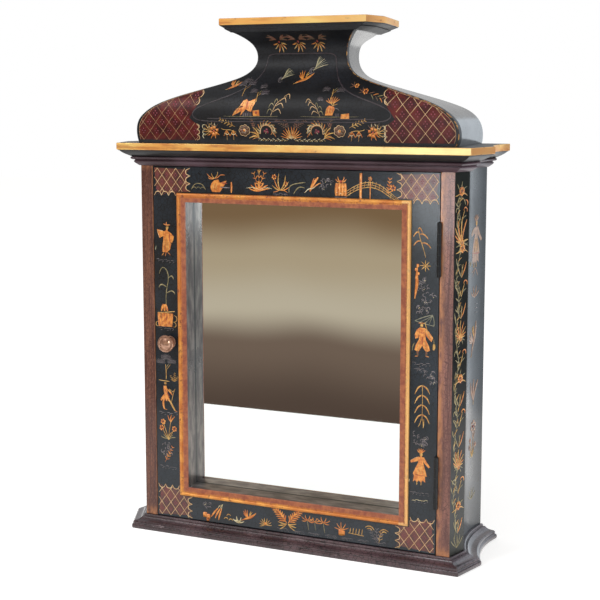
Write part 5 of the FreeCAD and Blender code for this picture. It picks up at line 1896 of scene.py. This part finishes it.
# %% [markdown]
# ## Corner and side paintings
#
# A vine of leaves, thistles and curled tendrils climbs each canted corner, and each scooped side
# has a few separate sprigs, a bird and a small figure. The left is laid out from the same seed as
# the right, turned over.

# %% Vine motifs
def thistle(b):
    """A tall head of pointed leaves."""
    for k in range(9):
        a = 14 + 19 * k
        reach = 9 + 15 * math.sin(math.radians(a)) ** 2
        b.leaf("bronze" if k % 2 else "gold", 0, 8, a, reach, 3.2)
    for a in (200, 235, 305, 340):
        b.leaf("olive", 0, 8, a, 10, 2.4)
    b.bloom("bronze", 0, 8, 8, 6, "red")


def tendrils(b):
    """Two stems that part and curl outwards."""
    for way in (-1, 1):
        b.stroke("gold" if way > 0 else "olive", [(0, 0), (way * 3, 9), (way * 7, 17)], 1.7, 0.5)
        b.arc("bronze" if way > 0 else "olive", way * 9, 17, 4, 90 + way * 90, 90 - way * 120, 1.9)
        b.leaf("olive", way * 2, 5, 90 - way * 60, 10, 2.4)


def vine_flower(b):
    """An open flower between leaves."""
    b.bloom("bronze", 1, 9, 13, 7, "red")
    for a in (30, 80, 130, 200, 340):
        b.leaf("olive" if a < 150 else "gold", 0, 8, a, 14, 2.8)


def leaf_pair(b):
    """Three long leaves from one point."""
    for a, length in ((62, 22), (88, 17), (118, 20)):
        b.leaf("bronze" if a < 80 else "olive", 0, 0, a, length, 3.4, 0.1 if a > 90 else -0.1)
    b.leaf("gold", 0, 2, 75, 15, 1.6)


print("vine motifs ready")

# %% Corner paintings
CANT_FOOT, CANT_HEAD = 36.0, 466.0
STEM_STEPS = 30
VINE_ORDER = ((leaf_pair, 27), (vine_flower, 24), (tendrils, 27), (thistle, 32), (leaf_pair, 27),
              (tendrils, 24))

for name, turned in (("cant_right", False), ("cant_left", True)):
    random.seed(47)
    vine = Brush(name, flip=turned)
    stem = [(-6 + 4 * math.sin(k * 1.3), CANT_FOOT + (CANT_HEAD - CANT_FOOT) * k / STEM_STEPS)
            for k in range(STEM_STEPS + 1)]
    for k in range(0, STEM_STEPS, 6):
        vine.line("olive", stem[k:k + 7], 1.0)
    for u, v in stem[1:-1]:
        vine.leaf("olive", u, v, random.uniform(60, 150), random.uniform(8, 12), 3.3)
        vine.leaf("olive", u - 1, v + 4, random.uniform(70, 130), random.uniform(8, 12), 3.0)
        vine.leaf("gold", u, v + 6, random.uniform(20, 70), random.uniform(6, 10), 2.4)
        vine.leaf("olive", u, v, random.uniform(20, 60), 6, 1.8)
    level = CANT_FOOT + 8
    k = 0
    while level < CANT_HEAD - 62:
        motif, rise = VINE_ORDER[k % len(VINE_ORDER)]
        motif(Brush(name, 1, level, 0.95, flip=turned))
        level += rise
        k += 1
    thistle(Brush(name, 1, 398, 1.3, flip=turned))
    tendrils(Brush(name, -1, 432, 0.9, flip=turned))
    vine.arc("olive", -2, 454, 9, 0, 175, 1.2, 0.8)
    vine.arc("bronze", 8, 456, 4, -60, 120, 1.6)
    vine_flower(Brush(name, -2, 462, 0.95, flip=turned))
    vine.fan("olive", 0, CANT_FOOT - 10, 7, 20, 160, 17, 2.6)
print("two vines", CANT_HEAD - CANT_FOOT, "mm tall")

# %% Side paintings
SIDE_LINE = 22.0
for name, turned in (("side_right", False), ("side_left", True)):
    random.seed(53)
    line = -SIDE_LINE if turned else SIDE_LINE
    crowned_figure(Brush(name, line + (-1 if turned else 1), 366, 1.45, flip=turned))
    sparse = Brush(name, line, 0, flip=turned)
    for a in (200, 230, 310):
        sparse.leaf("bronze", 0, 366, a, 14, 2.6)
    sparse.fan("bronze", 0, 328, 4, 30, 150, 16, 4.0)
    for level in (300, 306, 311):
        sparse.arc("pale", 6, level, 8, 60, 120, 1.0)
    bird(Brush(name, line, 270, 2.0, turn=40, flip=turned))
    for a in (62, 88, 114):
        sparse.leaf("bronze", 2, 192, a, 28, 7.5)
    sparse.leaf("gold", 2, 186, 88, 12, 1.4)
    sparse.bloom("bronze", 3, 157, 19, 6, "red")
    flower_spray(Brush(name, line, 114, 1.05, flip=turned))
    sparse.fan("olive", 0, 60, 5, 30, 150, 16, 2.4)
    # Bronze strokes on the sides move to the paler paint with the painted sheen.
    STROKES[name, "faded"] = STROKES.pop((name, "bronze"))
print("strokes:", sum(len(made) for made in STROKES.values()))

# %% [markdown]
# ## Strokes into paint
#
# Each stroke is a smooth curve whose thickness swells and tapers like a loaded brush. Curves of
# one paint on one surface become a single mesh, which is pressed to a third of its height and laid
# on the board under it: bronze powder painting stands a little proud of the lacquer, and a paint
# that was brushed on later stands over it. A stroke that would run off the board is left out.

# %% Strokes into paint
PAINT_HEIGHT, THICKEST = 0.30, 0.30
STROKE_LIFT, EDGE_HEIGHT = 0.08, 0.01
LAID_OVER = {"red": 0.30, "cream": 0.30, "gold": 0.08, "pale": 0.08, "straw": 0.05, "plum": 0.10}
painted = 0
for (surface, paint_name), strokes in STROKES.items():
    name = surface + "_" + paint_name + "_painting"
    curve = bpy.data.curves.new(name, "CURVE")
    curve.dimensions = "3D"
    curve.bevel_depth = MM
    curve.bevel_resolution = 1
    curve.resolution_u = 3
    curve.use_fill_caps = True
    for points in strokes:
        if any(board_under(surface, u, v) is None for u, v, _ in points):
            continue
        spline = curve.splines.new("NURBS")
        spline.points.add(len(points) - 1)
        for point, (u, v, width) in zip(spline.points, points):
            point.co = (u * MM, 0, v * MM, 1)
            point.radius = width / 2
        spline.order_u = min(3, len(points))
        spline.use_endpoint_u = True
    drawn = bpy.data.objects.new(name, curve)
    bpy.context.scene.collection.objects.link(drawn)
    mesh = bpy.data.meshes.new_from_object(drawn)
    bpy.data.objects.remove(drawn)
    bpy.data.curves.remove(curve)
    over = LAID_OVER.get(paint_name, 0.0)
    for vertex in mesh.vertices:
        proud = -vertex.co.y / MM * PAINT_HEIGHT
        if proud > EDGE_HEIGHT:
            proud = over + THICKEST * math.tanh(proud / THICKEST)
        vertex.co.y = -(proud + STROKE_LIFT) * MM
    lay(mesh, surface)
    mesh.shade_smooth()
    mesh.materials.clear()
    mesh.materials.append(PAINTS[paint_name])
    mesh.name = name
    made = bpy.data.objects.new(name, mesh)
    bpy.context.scene.collection.objects.link(made)
    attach(made, SURFACES[surface][0])
    painted += len(mesh.polygons)
print("painted faces:", painted)
